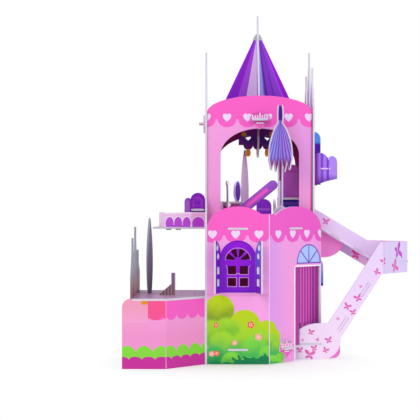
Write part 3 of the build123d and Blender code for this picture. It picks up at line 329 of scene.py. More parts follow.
# %% [markdown]
# The castle's motifs are hearts, butterflies and flowers. Each is a formula on the place of a plain
# shape: a heart is a disc whose middle is pushed down by a square root, a flower is a disc whose edge
# swings with the angle, and a butterfly is four slanted discs. A formula has no corners, so the motifs
# stay round at any distance.

# %% Motifs
UPPER_WING = (-0.55, (0.55, 0.1, 0), (0.52, 0.4, 1))
LOWER_WING = (0.35, (0.38, -0.36, 0), (0.38, 0.3, 1))
BUTTERFLY_BODY = (0.08, 0.55, 1)
HEART_DIP, HEART_LIFT = 0.75, 0.25
PETALS, PETAL_REACH, PETAL_SWING = 5, 0.84, 0.14
POLLEN_SHARE, EYE_SHARE = 0.4, 0.22


class Motifs(Fades):
    """Motifs made of plain shapes."""

    def heart(self, name, centre, size, every=None):
        across, up = self.split(self.place(centre, size, every))
        dip = self.maths("MULTIPLY", self.maths("SQRT", self.maths("ABSOLUTE", across)), HEART_DIP)
        low = self.maths("ADD", self.maths("SUBTRACT", up, dip), HEART_LIFT)
        return self.lay(self.inside(self.join(across, low)), name)

    def butterfly(self, name, centre, size, turn=0.0):
        across, up = self.split(self.place(centre, (size, size), turn=turn))
        side = self.maths("ABSOLUTE", across)
        for slant, wing_centre, wing_size in (UPPER_WING, LOWER_WING):
            wing = self.join(side, self.maths("MULTIPLY_ADD", side, slant, up))
            at = self.vector("DIVIDE", self.vector("SUBTRACT", wing, wing_centre), wing_size)
            self.lay(self.inside(at), name)
        body = self.vector("DIVIDE", self.join(across, up), BUTTERFLY_BODY)
        return self.lay(self.inside(body), "outline", 0.55)

    def flower(self, centre, size, name):
        across, up = self.split(self.place(centre, (size, size)))
        swing = self.maths("COSINE", self.maths("MULTIPLY", self.maths("ARCTAN2", up, across), PETALS))
        edge = self.maths("MULTIPLY_ADD", swing, PETAL_SWING, PETAL_REACH)
        self.lay(self.maths("LESS_THAN", self.measure("LENGTH", self.join(across, up)), edge), name)
        for share, colour in ((POLLEN_SHARE, "pollen"), (EYE_SHARE, name)):
            self.disc(colour, centre, (size * share, size * share))
        return self


print("motifs:", [tool for tool in vars(Motifs) if not tool.startswith("_")])

# %% [markdown]
# Three things run along whole walls: leafy rounds, the pink band with its scalloped hem, and the low
# hedge. A band is a box with one repeated disc for its hem and one repeated heart, so its pitch is the
# only thing that changes from wall to wall.

# %% Bush, band and hedge
LEAF_CLOUDS = 60.0
CLOUD_HEIGHT = 1.2
SHADE_HEIGHT, LIGHT_HEIGHT = -0.1, 1.35
LOBE_SHARE = 0.45
HEDGE_TOP, HEDGE_DARK_TOP = 12, 8
HEDGE_ROUND, HEDGE_DARK_ROUND = (12, 12), (13, 7)
HEART_SIZE = (5.5, 4.675)


class Bands(Motifs):
    """What runs along a wall."""

    def clump(self, rounds, high, low, soft=0.03):
        """Leafy rounds, each light at its top and darker below. Soft is the blurred part of its rim."""
        cloud = self.noise(LEAF_CLOUDS)
        for u, v, radius in rounds:
            at = self.place((u, v), (radius, radius))
            height = self.maths("MULTIPLY_ADD", cloud, CLOUD_HEIGHT, self.split(at)[1])
            lit = self.ramp(height, SHADE_HEIGHT, LIGHT_HEIGHT, soft=True)
            leaves = self.blend(lit, ink(low), ink(high))
            rim = self.ramp(self.measure("LENGTH", at), 1.0, 1.0 - soft, soft=True)
            self.lay(rim, leaves)
        return self

    def scallops(self, hem, top, first, pitch, drop, name="hot", lift=1.0):
        """A band with a scalloped hem and a heart in each scallop."""
        self.box(name, -WIDE, WIDE, hem, top)
        self.disc(name, (first, hem), (pitch * LOBE_SHARE, drop), (pitch, ONCE))
        return self.heart("heart", (first, hem + lift), HEART_SIZE, (pitch, ONCE))

    def hedge(self, first, first_dark):
        """A low hedge in two greens along the foot of a wall."""
        self.box("leaf", -WIDE, WIDE, -1, HEDGE_TOP)
        self.disc("leaf", (first, HEDGE_TOP), HEDGE_ROUND, (HEDGE_ROUND[0] * 2, ONCE))
        self.box("leaf_deep", -WIDE, WIDE, -1, HEDGE_DARK_TOP)
        dark_pitch = (HEDGE_DARK_ROUND[0] * 2, ONCE)
        return self.disc("leaf_deep", (first_dark, HEDGE_DARK_TOP), HEDGE_DARK_ROUND, dark_pitch)


print("bands:", [tool for tool in vars(Bands) if not tool.startswith("_")])

# %% [markdown]
# All the board has the same satin paper skin. It could be a separate material over the print, but
# a print and its paper are one surface, so the same last step finishes every sheet: fine fibres in the
# tint and the bump, and slow clouds of rubbing in the tint and the roughness.

# %% Paper finish
FIBRE_SCALE = 900.0
RUBBING_SCALE = 22.0
SATIN = 0.2
BUMP_DEPTH = 0.0001


class Print(Bands):
    """One printed side, from its sheet to its finished material."""

    def ready(self, roughness=0.35, grain=0.05):
        """Adds the paper and returns the material."""
        fibre = self.noise(FIBRE_SCALE, 3.0)
        rubbing = self.noise(RUBBING_SCALE, 6.0)
        value = self.maths("MULTIPLY_ADD", rubbing, grain, 1.0 - grain / 2)
        tint = self.add("ShaderNodeHueSaturation")
        self.put(tint.inputs["Color"], self.colour)
        self.put(tint.inputs["Value"], self.maths("MULTIPLY_ADD", fibre, grain / 2, value))
        self.put(self.shader.inputs["Base Color"], tint.outputs["Color"])
        self.put(self.shader.inputs["Roughness"], self.maths("MULTIPLY_ADD", rubbing, 0.25, roughness))
        self.put(self.shader.inputs["Specular IOR Level"], SATIN)
        bump = self.add("ShaderNodeBump")
        bump.inputs["Strength"].default_value = 0.1
        bump.inputs["Distance"].default_value = BUMP_DEPTH
        self.put(bump.inputs["Height"], fibre)
        self.put(self.shader.inputs["Normal"], bump.outputs["Normal"])
        return self.material


def plain(name, base, **more):
    """A side with one ink."""
    return Print(name, base, **more).ready()


print("paper fibres at scale", FIBRE_SCALE, "and rubbing at scale", RUBBING_SCALE)

# %% [markdown]
# Where board is cut, its pale core shows, a little rougher than the skin and speckled with fibres.
# These edges draw the thin light outlines round every piece, so they get a print of their own.

# %% Cut edge
SPECK_SCALE = 420.0
edge_print = Print("cut_edge", "edge")
edge_print.lay(edge_print.maths("GREATER_THAN", edge_print.noise(SPECK_SCALE), 0.6), "core", 0.35)
cut_edge = edge_print.ready(roughness=0.6, grain=0.04)
print("cut edge:", cut_edge.name)

# %% [markdown]
# A board has a front, a back and cut edges. The faces could be picked by hand, but their normals
# already tell which is which, and they still do after a board changes its size. So a board is painted
# by directions: faces that look that way get the print, faces that look the other way get the back,
# and the rest stays cut edge. A rounded fold is a row of narrow facets, which its own ink covers.

# %% Paint a board
FOLD_FACET = 0.0006
FLAT_ENOUGH = 0.97
FRONT = (0, -1, 0)
LEFT = (-1, 0, 0)
RIGHT = (1, 0, 0)
UP = (0, 0, 1)


def outward(turn):
    """The outer normal of an upright board that runs along this turn."""
    angle = math.radians(turn)
    return (math.sin(angle), -math.cos(angle), 0)


def on_fold(mesh, face):
    """True for one of the narrow upright facets of a rounded fold."""
    corners = [mesh.vertices[index].co.xy for index in face.vertices]
    return max((one - other).length for one in corners for other in corners) < FOLD_FACET


def paint(node, *sides, fold=None, edge=cut_edge):
    """Gives a board its prints. Each side is a direction, the print that faces it and the back's."""
    mesh = boards[node].data
    mesh.materials.clear()
    slots = {}
    for material in [edge, fold] + [material for side in sides for material in side[1:]]:
        if material and material.name not in slots:
            slots[material.name] = len(mesh.materials)
            mesh.materials.append(material)
    inked = 0
    for face in mesh.polygons:
        face.material_index = 0
        for direction, front, back in sides:
            facing = face.normal.dot(Vector(direction).normalized())
            if abs(facing) > FLAT_ENOUGH:
                face.material_index = slots[(front if facing > 0 else back).name]
                inked += 1
                break
        if fold and on_fold(mesh, face):
            face.material_index = slots[fold.name]
    print(node, "faces", len(mesh.polygons), "inked", inked)


print("front looks", FRONT, "and the door wall looks", [round(part, 3) for part in outward(45)])

# %% [markdown]
# Inside, the walls are papered in plum with a fine magenta stripe, and the paper is deeper downstairs.
# One paper serves all walls of a direction, because Object coordinates run on from board to board.

# %% Inside paper
DEEPER, UPSTAIRS = 150, 175
PARAPET = 326


def papered(sheet):
    return sheet.stripes("magenta", 12, 0.12, strength=0.35)


across_paper = papered(Print("inside_across", "plum").fade("plum_glow", UPSTAIRS, DEEPER)).ready()
along_print = papered(Print("inside_along", "plum", turn=90).fade("plum_glow", UPSTAIRS, DEEPER))
along_paper = along_print.box("mauve_pink", 60, 220, PARAPET, 420).ready()
turned_paper = papered(Print("inside_turned", "plum_dark", BAY_FOLD, 0, 45)).ready()
print("papers:", across_paper.name, along_paper.name, turned_paper.name)

# %% [markdown]
# The bush at the front bay's foot could be one green patch, but the real one is a heap of leafy rounds,
# each light at its top and dark where the next one covers it. So the rounds are listed from the back of
# the heap to its front, and the dark leaf blades and the flowers after them.

# %% Bush of the front bay
# Rounds of u, v and radius, then the light ink, the dark ink and how soft the rims are.
BUSH_BEHIND = (
    (((-37, 58, 16), (-23, 68, 18.7)), "leaf_light", "leaf_olive", 0.03),
    (((36, 43, 12), (8.5, 48.2, 20)), "leaf_light", "leaf_warm", 0.03),
    (((30, 27, 17),), "leaf_warm", "moss", 0.03),
    (((-14, 42, 19), (-33, 38, 20)), "leaf_warm", "moss", 0.3),
    (((-20, 24, 20), (6, 24, 19)), "leaf_warm", "leaf_deep", 0.3),
)
BUSH_IN_FRONT = (
    (((21, 19, 18), (37, 12, 12)), "leaf", "leaf_deep", 0.2),
    (((-31, 8, 17),), "leaf_deep", "leaf_dark", 0.3),
    (((-8, 2, 15), (12, -2, 12)), "leaf", "leaf_dark", 0.25),
    (((2, -3, 9), (13, -2, 10), (24, -3, 10), (35, 0, 10), (-14, -6, 9), (-30, -6, 9)),
     "leaf_dark", "leaf_dark", 0.03),
)
# Blades of u, v and turn, and flowers of u, v, size and ink.
BLADES = ((-4, 5, 50), (2, 7, 25), (10, 7, 62), (17, 6, -65), (28, 7, -45), (35, 9, 30))
FLOWERS = ((15.8, 49.1, 5, "coral"), (25.6, 33.8, 5, "petal"), (-4.2, 26.5, 3.8, "petal"),
           (-27.5, 48.6, 3.6, "coral"), (-26.6, 13.5, 4, "coral"), (-33, 12.8, 4, "petal"))
print("bush rounds:", sum(len(heap[0]) for heap in BUSH_BEHIND + BUSH_IN_FRONT), "flowers:", len(FLOWERS))

# %% [markdown]
# The front bay is the castle's face: pink, with a faint line at the window's foot, the bush below and a
# hot pink band with hearts above. The inks go on in that order, so the band covers what is under it.

# %% Front bay
FRONT_HEM = 160.5
FRONT_DROP = 9.0
BLADE_SIZE = (1.7, 5.2)

bay_print = Print("front_bay_print", "body_low").fade("body_high", 60, 190)
bay_print.box("outline", -BAY_FOLD, BAY_FOLD, 84.5, 88.5, 0.18)
for rounds, high, low, soft in BUSH_BEHIND:
    bay_print.clump(rounds, high, low, soft)
bay_print.box("leaf_deep", -WIDE, WIDE, -1, 14)
for rounds, high, low, soft in BUSH_IN_FRONT:
    bay_print.clump(rounds, high, low, soft)
for u, v, turn in BLADES:
    bay_print.lay(bay_print.inside(bay_print.place((u, v), BLADE_SIZE, turn=turn)), "leaf_dark")
for u, v, size, name in FLOWERS:
    bay_print.flower((u, v), size, name)
bay_print.scallops(FRONT_HEM, 260, -31.9, 29.0, FRONT_DROP)
bay_face = bay_print.ready()
print("front bay:", bay_face.name, "nodes", len(bay_face.node_tree.nodes))

# %% [markdown]
# The door wall carries a fan light over the doorway, a white frame round it, the end of the bush and
# the same band. Its u starts at the fold, so the bush and the band run on round the corner.

# %% Door wall
FAN = (75.3, 123.4)
FAN_RAYS = (45, 90, 135)
RAY_START = 11.2
FRAME_LEFT, FRAME_RIGHT, FRAME_TOP, FRAME_CORNER = 46.7, 99, 121.5, 4
GLASS_FOOT = 125
# Rounds of u, v and radius, then the light ink and the dark ink.
BUSH_END = (
    (((0, 41, 13), (9, 33, 11)), "leaf_light", "leaf_warm"),
    (((2, 24, 15), (13, 19, 10)), "leaf_warm", "leaf_deep"),
    (((19, 6, 7.5),), "leaf", "leaf_deep"),
    (((4, -2, 13), (17, -3, 9)), "leaf", "leaf_dark"),
    (((1, -5, 9), (11, -5, 8)), "leaf_deep", "leaf_dark"),
)

door_print = Print("door_wall_print", "body_low", BAY_FOLD, 0, 45).fade("body_lilac", 36, 2, across=True)
door_print.half_disc("canopy_deep", FAN, (23.8, 25))
door_print.half_disc("sky", (FAN[0], GLASS_FOOT), (21.6, 21.8))
for ray in FAN_RAYS:
    angle = math.radians(ray)
    ray_middle = (FAN[0] + RAY_START * math.cos(angle), GLASS_FOOT - 1 + RAY_START * math.sin(angle))
    door_print.line("canopy_deep", ray_middle, 11, 0.85, ray)
corner_u, corner_v = FRAME_LEFT + FRAME_CORNER, FRAME_TOP - FRAME_CORNER
door_print.box("white", FRAME_LEFT, FRAME_RIGHT, 0, corner_v)
door_print.box("white", corner_u, FRAME_RIGHT, corner_v - 0.5, FRAME_TOP)
door_print.disc("white", (corner_u, corner_v), (FRAME_CORNER, FRAME_CORNER))
for rounds, high, low in BUSH_END:
    door_print.clump(rounds, high, low)
door_print.scallops(FRONT_HEM, 260, 16.2, 27.6, FRONT_DROP, name="hot_turned")
door_face = door_print.ready()
print("door wall:", door_face.name, "nodes", len(door_face.node_tree.nodes))

# %% [markdown]
# The window's two leaves are folded out of the same board as the bay and the door wall. Each is found by
# its own direction, turned a little past a right angle, and is blue-violet on one side and purple on
# the other. The rounded folds get a pale ink.

# %% Window leaves and the front board
LEAF_OPENING = 17

leaf_face = Print("window_leaf_print", "frame_low", turn=90).stripes("purple_deep", 9, 0.2).ready()
leaf_back = Print("window_leaf_back", "blue_violet", turn=90).fade("purple", 150, 95).ready()
paint("castle_front_wall", (FRONT, bay_face, across_paper), (outward(45), door_face, turned_paper),
      (outward(-90 - LEAF_OPENING), leaf_back, leaf_face),
      (outward(-90 + LEAF_OPENING), leaf_back, leaf_face), fold=plain("front_fold", "fold"))

# %% [markdown]
# Behind the opening stands a purple window frame with real openings for its panes. Its print adds the
# pale panes' rims and the fan's half disc over them.

# %% Window frame
PANES = (96.2, 123.3)
FAN_FOOT = 129

frame_print = Print("window_frame_print", "frame").fade("frame_low", 150, 85)
frame_print.box("pane", -13.6, 13.6, *PANES)
frame_print.box("frame", -1.4, 1.4, 95, 125).box("frame", -16, 16, 108.3, 111.2)
frame_print.disc("pane", (0, FAN_FOOT), (16.4, 16.4)).box("frame", -20, 20, PANES[1], 129.6)
frame_print.disc("frame", (0, FAN_FOOT), (15.5, 15.5))
paint("window_frame", (FRONT, frame_print.ready(), across_paper))

# %% [markdown]
# The curtain behind the doorway is a printed board, not cloth. Its pleats are soft stripes that come
# and go over their width, dark in the valleys and light on the ridges, and it darkens to the right.

# %% Curtain
CURTAIN_START = 57
PLEAT = 5.4

curtain_print = Print("curtain_print", "curtain", BAY_FOLD, 0, 45)
pleated = curtain_print.box_mask(CURTAIN_START, 200, -WIDE, ONCE)
curtain_print.pleats("curtain_dark", PLEAT, 0.4, 1.0, shift=CURTAIN_START, field=pleated)
lit = curtain_print.box_mask(60, 92, -WIDE, ONCE)
curtain_print.pleats("curtain_light", PLEAT, 0.35, 0.0, shift=CURTAIN_START, strength=0.8, field=lit)
curtain_print.box("curtain_side", 0, CURTAIN_START, 0, 140)
curtain_print.box("curtain_dark", CURTAIN_START - 0.4, CURTAIN_START + 0.6, 0, 140)
curtain_face = curtain_print.fade("curtain_dark", 78, 104, across=True).ready()
paint("door_curtain", (outward(45), curtain_face, turned_paper))

# %% [markdown]
# The curtain board stops short of the doorway's right side, where the slide passes. Two thin strips in
# the doorway and one behind the slide's rail close the gap. A strip is a plane stood up on its edge and
# then extruded forwards, because that is how a sheet gets its thickness by hand.

# %% Curtain strips
STRIP_THICKNESS = 0.4
STRIP_FOOT = 21.5
STRIP_SETBACK = -1.0
DIAGONAL = math.sqrt(0.5)


def curtain_strip(name, middle, length, height, turn):
    """A plane stood up behind its own front, then extruded forwards by the strip's thickness."""
    forwards = Vector(outward(turn)) * STRIP_THICKNESS / MM
    bpy.ops.object.select_all(action="DESELECT")
    bpy.ops.mesh.primitive_plane_add(size=1.0, location=Vector(middle) / MM - forwards / 2,
                                     rotation=(math.radians(90), 0, math.radians(turn)))
    strip = bpy.context.active_object
    strip.name = name
    strip.scale = (length / MM, height / MM, 1.0)
    bpy.ops.object.transform_apply(location=True, rotation=True, scale=True)
    bpy.ops.object.mode_set(mode="EDIT")
    bpy.ops.mesh.select_all(action="SELECT")
    bpy.ops.mesh.extrude_region_move(TRANSFORM_OT_translate={"value": tuple(forwards)})
    bpy.ops.mesh.select_all(action="SELECT")
    bpy.ops.mesh.normals_make_consistent(inside=False)
    bpy.ops.object.mode_set(mode="OBJECT")
    strip.data.materials.append(curtain_face)
    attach(strip, "root")
    print(name, [round(side * MM, 1) for side in strip.dimensions], "mm")


for name, first, last, top in (("curtain_jamb_strip", 85.5, 97.0, 119.3),
                               ("curtain_low_strip", 69.8, 85.3, 46.8)):
    along = (first + last) / 2
    strip_x = BAY_FOLD + (along + STRIP_SETBACK) * DIAGONAL
    strip_y = (along - STRIP_SETBACK) * DIAGONAL
    curtain_strip(name, (strip_x, strip_y, (STRIP_FOOT + top) / 2), last - first, top - STRIP_FOOT, 45)
curtain_strip("curtain_rail_strip", (83.6, 50.6, 34.2), 9.4, 25.4, 0)

# %% [markdown]
# The tower repeats the front's band on a lighter pink, cooler to the right, with a hotter pink along its
# right edge that is painted shade, and a painted shadow line in plum at the very edge. That pink is a
# fade held inside a field, so it stops below the band.

# %% Tower front and back
TOWER_HEM = 311.0
TOWER_PITCH = 26.8
TOWER_DROP = 10.5
TOWER_LIFT = 2.0

tower_print = Print("tower_front_print", "tower_high").fade("body_low", 260, 180)
tower_print.fade("tower_side", 70, 100, across=True)
tower_print.scallops(TOWER_HEM, 400, -12.8, TOWER_PITCH, TOWER_DROP, lift=TOWER_LIFT)
tower_print.fade("tower_low", 240, 195, field=tower_print.box_mask(70, 101, 150, 260))
# Painted shade: a hotter pink down the right edge, and a painted shadow line in plum at the edge itself.
tower_print.fade("hot_shade", 300, 170, field=tower_print.box_mask(96, 101, 150, 300))
tower_print.box("plum", 97.5, 100, 160, 320, 0.8)
back_print = Print("tower_back_print", "body_low").fade("body_high", 60, 300)
back_print.scallops(TOWER_HEM, 400, 3.3, TOWER_PITCH, TOWER_DROP, lift=TOWER_LIFT).hedge(-26, -14)
paint("tower_front", (FRONT, tower_print.ready(), across_paper))
paint("tower_back", (FRONT, across_paper, back_print.ready()))

# %% [markdown]
# Both side walls end in three spires, grey-lilac with a white stripe. The band and the hedge are the
# same, so one helper prints a side, and the left wall then gets its own window.

# %% Tower sides
SPIRES = {87: 380, 137.5: 407, 188: 380}
SIDE_FIRST = 97.0
WINDOW_Y, WINDOW_Z = 180, 250


def side_print(name):
    """A tower side: pink, with a scalloped band below the grey-lilac spires."""
    sheet = Print(name, "body_low", turn=90).fade("body_high", 60, 300)
    sheet.scallops(TOWER_HEM, PARAPET, SIDE_FIRST, TOWER_PITCH, TOWER_DROP, lift=TOWER_LIFT)
    sheet.box("grey_lilac", 60, 220, PARAPET, 420)
    for middle, tip in SPIRES.items():
        sheet.box("white", middle - 1.5, middle + 1.5, PARAPET, tip)
        for side in (-1, 1):
            inner, outer = sorted((middle + side * 6.5, middle + side * 8))
            sheet.box("lilac", inner, outer, PARAPET, 345)
    return sheet


left_print = side_print("left_wall_print")
left_print.scallops(FRONT_HEM, 200, 12.0, 29.0, FRONT_DROP)
for colour, half_width, foot in (("purple", 15, 215), ("sky", 12, 218)):
    left_print.disc(colour, (WINDOW_Y, WINDOW_Z), (half_width, half_width))
    left_print.box(colour, WINDOW_Y - half_width, WINDOW_Y + half_width, foot, WINDOW_Z)
left_print.box("purple", WINDOW_Y - 1, WINDOW_Y + 1, 215, 262).box("body_low", 66, 210, 150, 201)
paint("left_wall", (LEFT, left_print.hedge(9, 20).ready(), along_paper))
paint("right_wall", (RIGHT, side_print("right_wall_print").hedge(9, 20).ready(), along_paper))

# %% [markdown]
# The roof's stripes all meet at its tip. Upright stripes would be cut off by the slopes, so the mask
# is the ratio of the width to the height left below the tip, which is the same all along a stripe.

# %% Roof
ROOF_SLOPE = 0.472
POLE_FOOT = 424
roof_low, roof_high = reach("roof_main")
ROOF_TIP = reach("tower_ceiling")[1].z + (roof_high.x - roof_low.x) / 2 / ROOF_SLOPE
# The edges run from -1 at the left slope to 1 at the right one, each with the ink to its right.
STRIPES_FRONT = (
    (-1, "roof"), (-0.86, "roof_deep"), (-0.8, "roof"), (-0.64, "roof_mid"), (-0.37, "roof_lilac"),
    (-0.14, "roof_pale"), (-0.08, "roof_lilac"), (0.03, "roof_blue"), (0.2, "blue_violet"),
    (0.25, "purple_deep"), (0.31, "roof_side"), (0.5, "roof_deep"), (0.56, "roof_side"),
    (0.78, "roof_mid"), (0.84, "roof"))
STRIPES_SIDE = (
    (-1, "roof"), (-0.7, "lilac"), (-0.45, "roof_mid"), (-0.15, "lilac_pale"), (0.1, "roof"),
    (0.4, "blue_violet"), (0.7, "roof_deep"))


def roof_print(name, turn, edges):
    sheet = Print(name, edges[0][1], TOWER_X, TOWER_Y, turn)
    ratio = sheet.maths("DIVIDE", sheet.u, sheet.maths("SUBTRACT", ROOF_TIP, sheet.v))
    for edge, colour in edges[1:]:
        sheet.lay(sheet.maths("GREATER_THAN", ratio, edge * ROOF_SLOPE), colour)
    return sheet.box("core", -60, 60, POLE_FOOT, 460).ready(roughness=0.28)


print("the roof's slopes would meet at", round(ROOF_TIP, 1), "mm")
roof_front = roof_print("roof_front", 0, STRIPES_FRONT)
roof_back = roof_print("roof_back", 0, STRIPES_SIDE)
roof_left = roof_print("roof_left", 90, STRIPES_SIDE)
roof_right = roof_print("roof_right", 90, STRIPES_FRONT)
paint("roof_main", (FRONT, roof_front, roof_back))
paint("roof_cross", (LEFT, roof_left, roof_right))

# %% [markdown]
# Floors are seen from above, so their sheets are flat ones, with v to the back of the castle. The
# tiles are the smaller of two folded-up waves, which draws both sets of joints at once.

# %% Floors
TILE = 12.0
JOINT = 0.7
PLANK = 8.0

tile_print = Print("floor_tiles", "floor_tile", flat=True)
tile_waves = [tile_print.maths("PINGPONG", way, TILE) for way in (tile_print.u, tile_print.v)]
tile_joints = tile_print.maths("LESS_THAN", tile_print.maths("MINIMUM", *tile_waves), JOINT)
tile_face = tile_print.lay(tile_joints, "mauve", 0.5).ready()
under_face = plain("board_underside", "grey_mauve", flat=True)
terrace = Print("terrace_print", "rose", flat=True)
terrace.lay(terrace.maths("LESS_THAN", terrace.maths("PINGPONG", terrace.v, PLANK), 0.8), "hot", 0.6)
terrace_face = terrace.box("terrace_tile", -40, 115, 67, 210).ready()
for node in ("ground_floor", "balcony_floor", "slide_end_floor"):
    paint(node, (UP, tile_face, under_face))
paint("upper_floor", (UP, terrace_face, across_paper))
paint("tower_ceiling", (UP, plain("ceiling_top", "purple_mid", flat=True), across_paper))

# %% [markdown]
# A crest slips over the tabs that hold two boards together and locks them. It shows a white crown over a
# rose heart. The crown's points are narrow discs that fan out a little more with each step.

# %% Crests
CROWN_POINTS = (-3, -2, -1, 0, 1, 2, 3)
POINT_PITCH = 3.1


def crest_print(name, x, y, turn, height):
    sheet = Print(name, "hot", x, y, turn)
    for point in CROWN_POINTS:
        centre = (point * POINT_PITCH, height + 6.0 - abs(point) * 0.6)
        sheet.lay(sheet.inside(sheet.place(centre, (0.75, 3.6), turn=-point * 7)), "white")
    sheet.box("white", -11.5, 11.5, height + 1.6, height + 2.6)
    sheet.heart("rose", (0, height - 6.2), (6.6, 5.6)).heart("hot", (0, height - 6.0), (5.7, 4.8))
    sheet.disc("white", (0, height - 4.0), (2.0, 0.9), (3.4, ONCE))
    for side in (-1, 1):
        inner, outer = sorted((side * 4.6, side * 20))
        sheet.box("hot", inner, outer, height - 6, height - 2)
    return sheet.ready()


rose_back = plain("rose_back", "rose")
door_spot = middle_of("door_crest")
tower_crest_face = crest_print("tower_crest_print", TOWER_X, 0, 0, 310)
side_crest_face = crest_print("side_crest_print", 0, TOWER_Y, 90, 310)
door_crest_face = crest_print("door_crest_print", door_spot.x, door_spot.y, 45, 17.75)
paint("tower_crest", (FRONT, tower_crest_face, rose_back))
paint("side_crest", (LEFT, side_crest_face, rose_back))
paint("door_crest", (outward(45), door_crest_face, rose_back))

# %% [markdown]
# The slide is pale lilac with pink butterflies, and thin grey lines of painted shadow, in the slots' gaps,
# show where the ramps' tabs come through. The lines lean as the ramp does, so their turn is worked out
# from the ramp's run and fall.

# %% Slide prints
SLIDE_FOLD = 188
FOLD_TURN = 51.8
LINE_GAP = 1.85
RAMP_RUN, RAMP_FALL = 67.4, 104.3
# Butterflies of u, v, size and turn.
FRONT_BUTTERFLIES = (
    (141.9, 68.1, 4.6, -25), (155.8, 79.1, 5, 20), (149.3, 60.8, 4, 10), (180.2, 112.7, 4, -60),
    (190.2, 125.7, 5, 15), (159.4, 93.9, 2, 0), (130, 52.4, 2, 20), (95.3, 35.1, 4, -15),
    (84.4, 24.8, 1.8, 30), (103.7, 25.4, 2.5, 35), (117.9, 24.8, 4.5, 15), (80.5, 11.9, 4, 0),
    (93.4, 6.1, 6.5, -10), (99.2, 14.4, 4, 10), (114, 11.9, 4, -25))


def slide_print(name, butterflies=(), tabs=(), turn=0.0, x=0.0, y=0.0):
    """A slide wall with its butterflies and, for each tab, two thin painted shadow lines along the ramp."""
    sheet = Print(name, "slide", x, y, turn).fade("slide_pale", 110, 20)
    for u, v, size, lean in butterflies:
        sheet.butterfly("butterfly", (u, v), size, lean)
    lean = math.atan2(RAMP_FALL, RAMP_RUN)
    # Painted shadow: a thin dark line in each slot's gap, on both sides of the tab.
    for u, v in tabs:
        for gap in (-LINE_GAP, LINE_GAP):
            centre = (u - gap * math.sin(lean), v + gap * math.cos(lean))
            sheet.line("crease", centre, 10.5, 0.3, math.degrees(lean), 0.5)
    return sheet


front_slide = slide_print("slide_front_print", FRONT_BUTTERFLIES, ((136.5, 45.8), (164.8, 89.6))).ready()
front_y = reach("slide_front_wall")[0].y + HALF_BOARD
landing_print = slide_print("slide_turned_print", turn=FOLD_TURN, x=SLIDE_FOLD, y=front_y)
landing_print.fade("landing", 60, 110)
landing_print.butterfly("butterfly", (29, 119.1), 8, -65).butterfly("glade", (37.5, 139), 9.5, -70)
landing_print.butterfly("butterfly", (0, 125.7), 5, 15)
landing_print.disc("glade", (47, 130.4), (1.5, 1.5)).box("crease", 0, 0.8, 90, 160, 0.6)
landing_face = landing_print.ready()
print("slide front:", front_slide.name, "landing:", landing_face.name)

# %% [markdown]
# Behind the front wall stand the wall between the lanes, with a white line along it and a painted
# shadow line under that, and the back rail, which goes from hot pink, painted shade at its left end,
# to a pale blush towards the landing. The lower ramp and the landing slip their tabs through these
# walls, so they get edges in the walls' own inks instead of pale core.

# %% Slide walls and ramps
LANE_FALL = math.degrees(math.atan(-0.609))
LANE_MIDDLE = 152

middle_print = slide_print("slide_middle_print", ((119.1, 177.3, 4.5, -10), (190, 145.2, 1.5, 0)))
middle_print.line("white", (LANE_MIDDLE, 144.6), 70, 0.6, LANE_FALL)
# Painted shadow: a thin dark line under the white line.
middle_print.line("crease", (LANE_MIDDLE, 143.4), 70, 0.4, LANE_FALL, 0.5)
behind_print = slide_print("slide_behind_print")
# Painted shade: the wall turns hot pink towards its left end, next to the corbel.
behind_print.fade("blush", 150, 185, across=True).fade("raspberry", 150, 120, across=True)
behind_print.butterfly("wasp", (165.3, 131.5), 6.5, -15).butterfly("wasp", (184.8, 123.8), 4, 10)
back_y = reach("slide_back_wall")[1].y - HALF_BOARD
back_turned = slide_print("slide_back_turned_print", ((20, 138, 5, 10), (32, 124, 4, -20)),
                          turn=-FOLD_TURN, x=SLIDE_FOLD, y=back_y).ready()
ramp_face = Print("ramp_print", "lilac_pale").stripes("slide", 9, 0.5, lean=0.4).ready(roughness=0.25)
ramp_under = plain("ramp_underside", "lilac")
slide_inner = plain("slide_inside", "slide_pale")
paint("slide_front_wall", (FRONT, front_slide, slide_inner),
      (outward(FOLD_TURN), landing_face, slide_inner), fold=plain("slide_fold", "slide"))
paint("slide_middle_wall", (FRONT, middle_print.ready(), slide_inner))
paint("slide_back_wall", (FRONT, behind_print.ready(), slide_inner),
      (outward(180 - FOLD_TURN), back_turned, slide_inner), fold=plain("slide_back_fold", "slide"))
paint("upper_ramp", ((0.52, 0, 0.85), ramp_face, ramp_under))
paint("lower_ramp", ((-0.84, 0, 0.543), ramp_face, ramp_under), edge=slide_print("ramp_edge_print").ready())
paint("landing_floor", (UP, tile_face, under_face), edge=plain("landing_edge", "landing"))
paint("slide_foot", (FRONT, plain("slide_foot_print", "foot"), rose_back))
paint("slide_corbel", (FRONT, plain("slide_corbel_print", "corbel"), rose_back))

# %% [markdown]
# The canopy is a closed parasol on a pole, cut from two crossed boards. Its pleats run down from the
# peak, so they use the same ratio as the roof's stripes, folded up into many narrow ones.

# %% Canopy
CANOPY_TURN = 43
CANOPY_PEAK = 322.0
PLEAT_RATIO = 0.048
canopy_middle = middle_of("canopy_front")


def canopy_print(name, turn, base, valley, ridge, pole):
    sheet = Print(name, base, canopy_middle.x, canopy_middle.y, turn)
    sheet.fade("canopy_side", -2, 14, across=True)
    ratio = sheet.maths("DIVIDE", sheet.u, sheet.maths("SUBTRACT", CANOPY_PEAK, sheet.v))
    pleat = sheet.maths("PINGPONG", ratio, PLEAT_RATIO)
    sheet.lay(sheet.maths("LESS_THAN", pleat, PLEAT_RATIO * 0.25), valley)
    sheet.lay(sheet.maths("GREATER_THAN", pleat, PLEAT_RATIO * 0.79), ridge)
    sheet.fade(valley, 262, 236).fade("berry", 260, 251)
    sheet.box("purple_deep", -30, 30, 307.5, 340).box("glade", 0.6, 30, 309, 340)
    sheet.box(pole, -30, 30, 160, 230).box("lilac_pale", -30, 30, 160, 199)
    return sheet.disc("purple_mid", (0, 170), (12, 21)).disc("lilac", (0, 170), (9, 15)).ready()


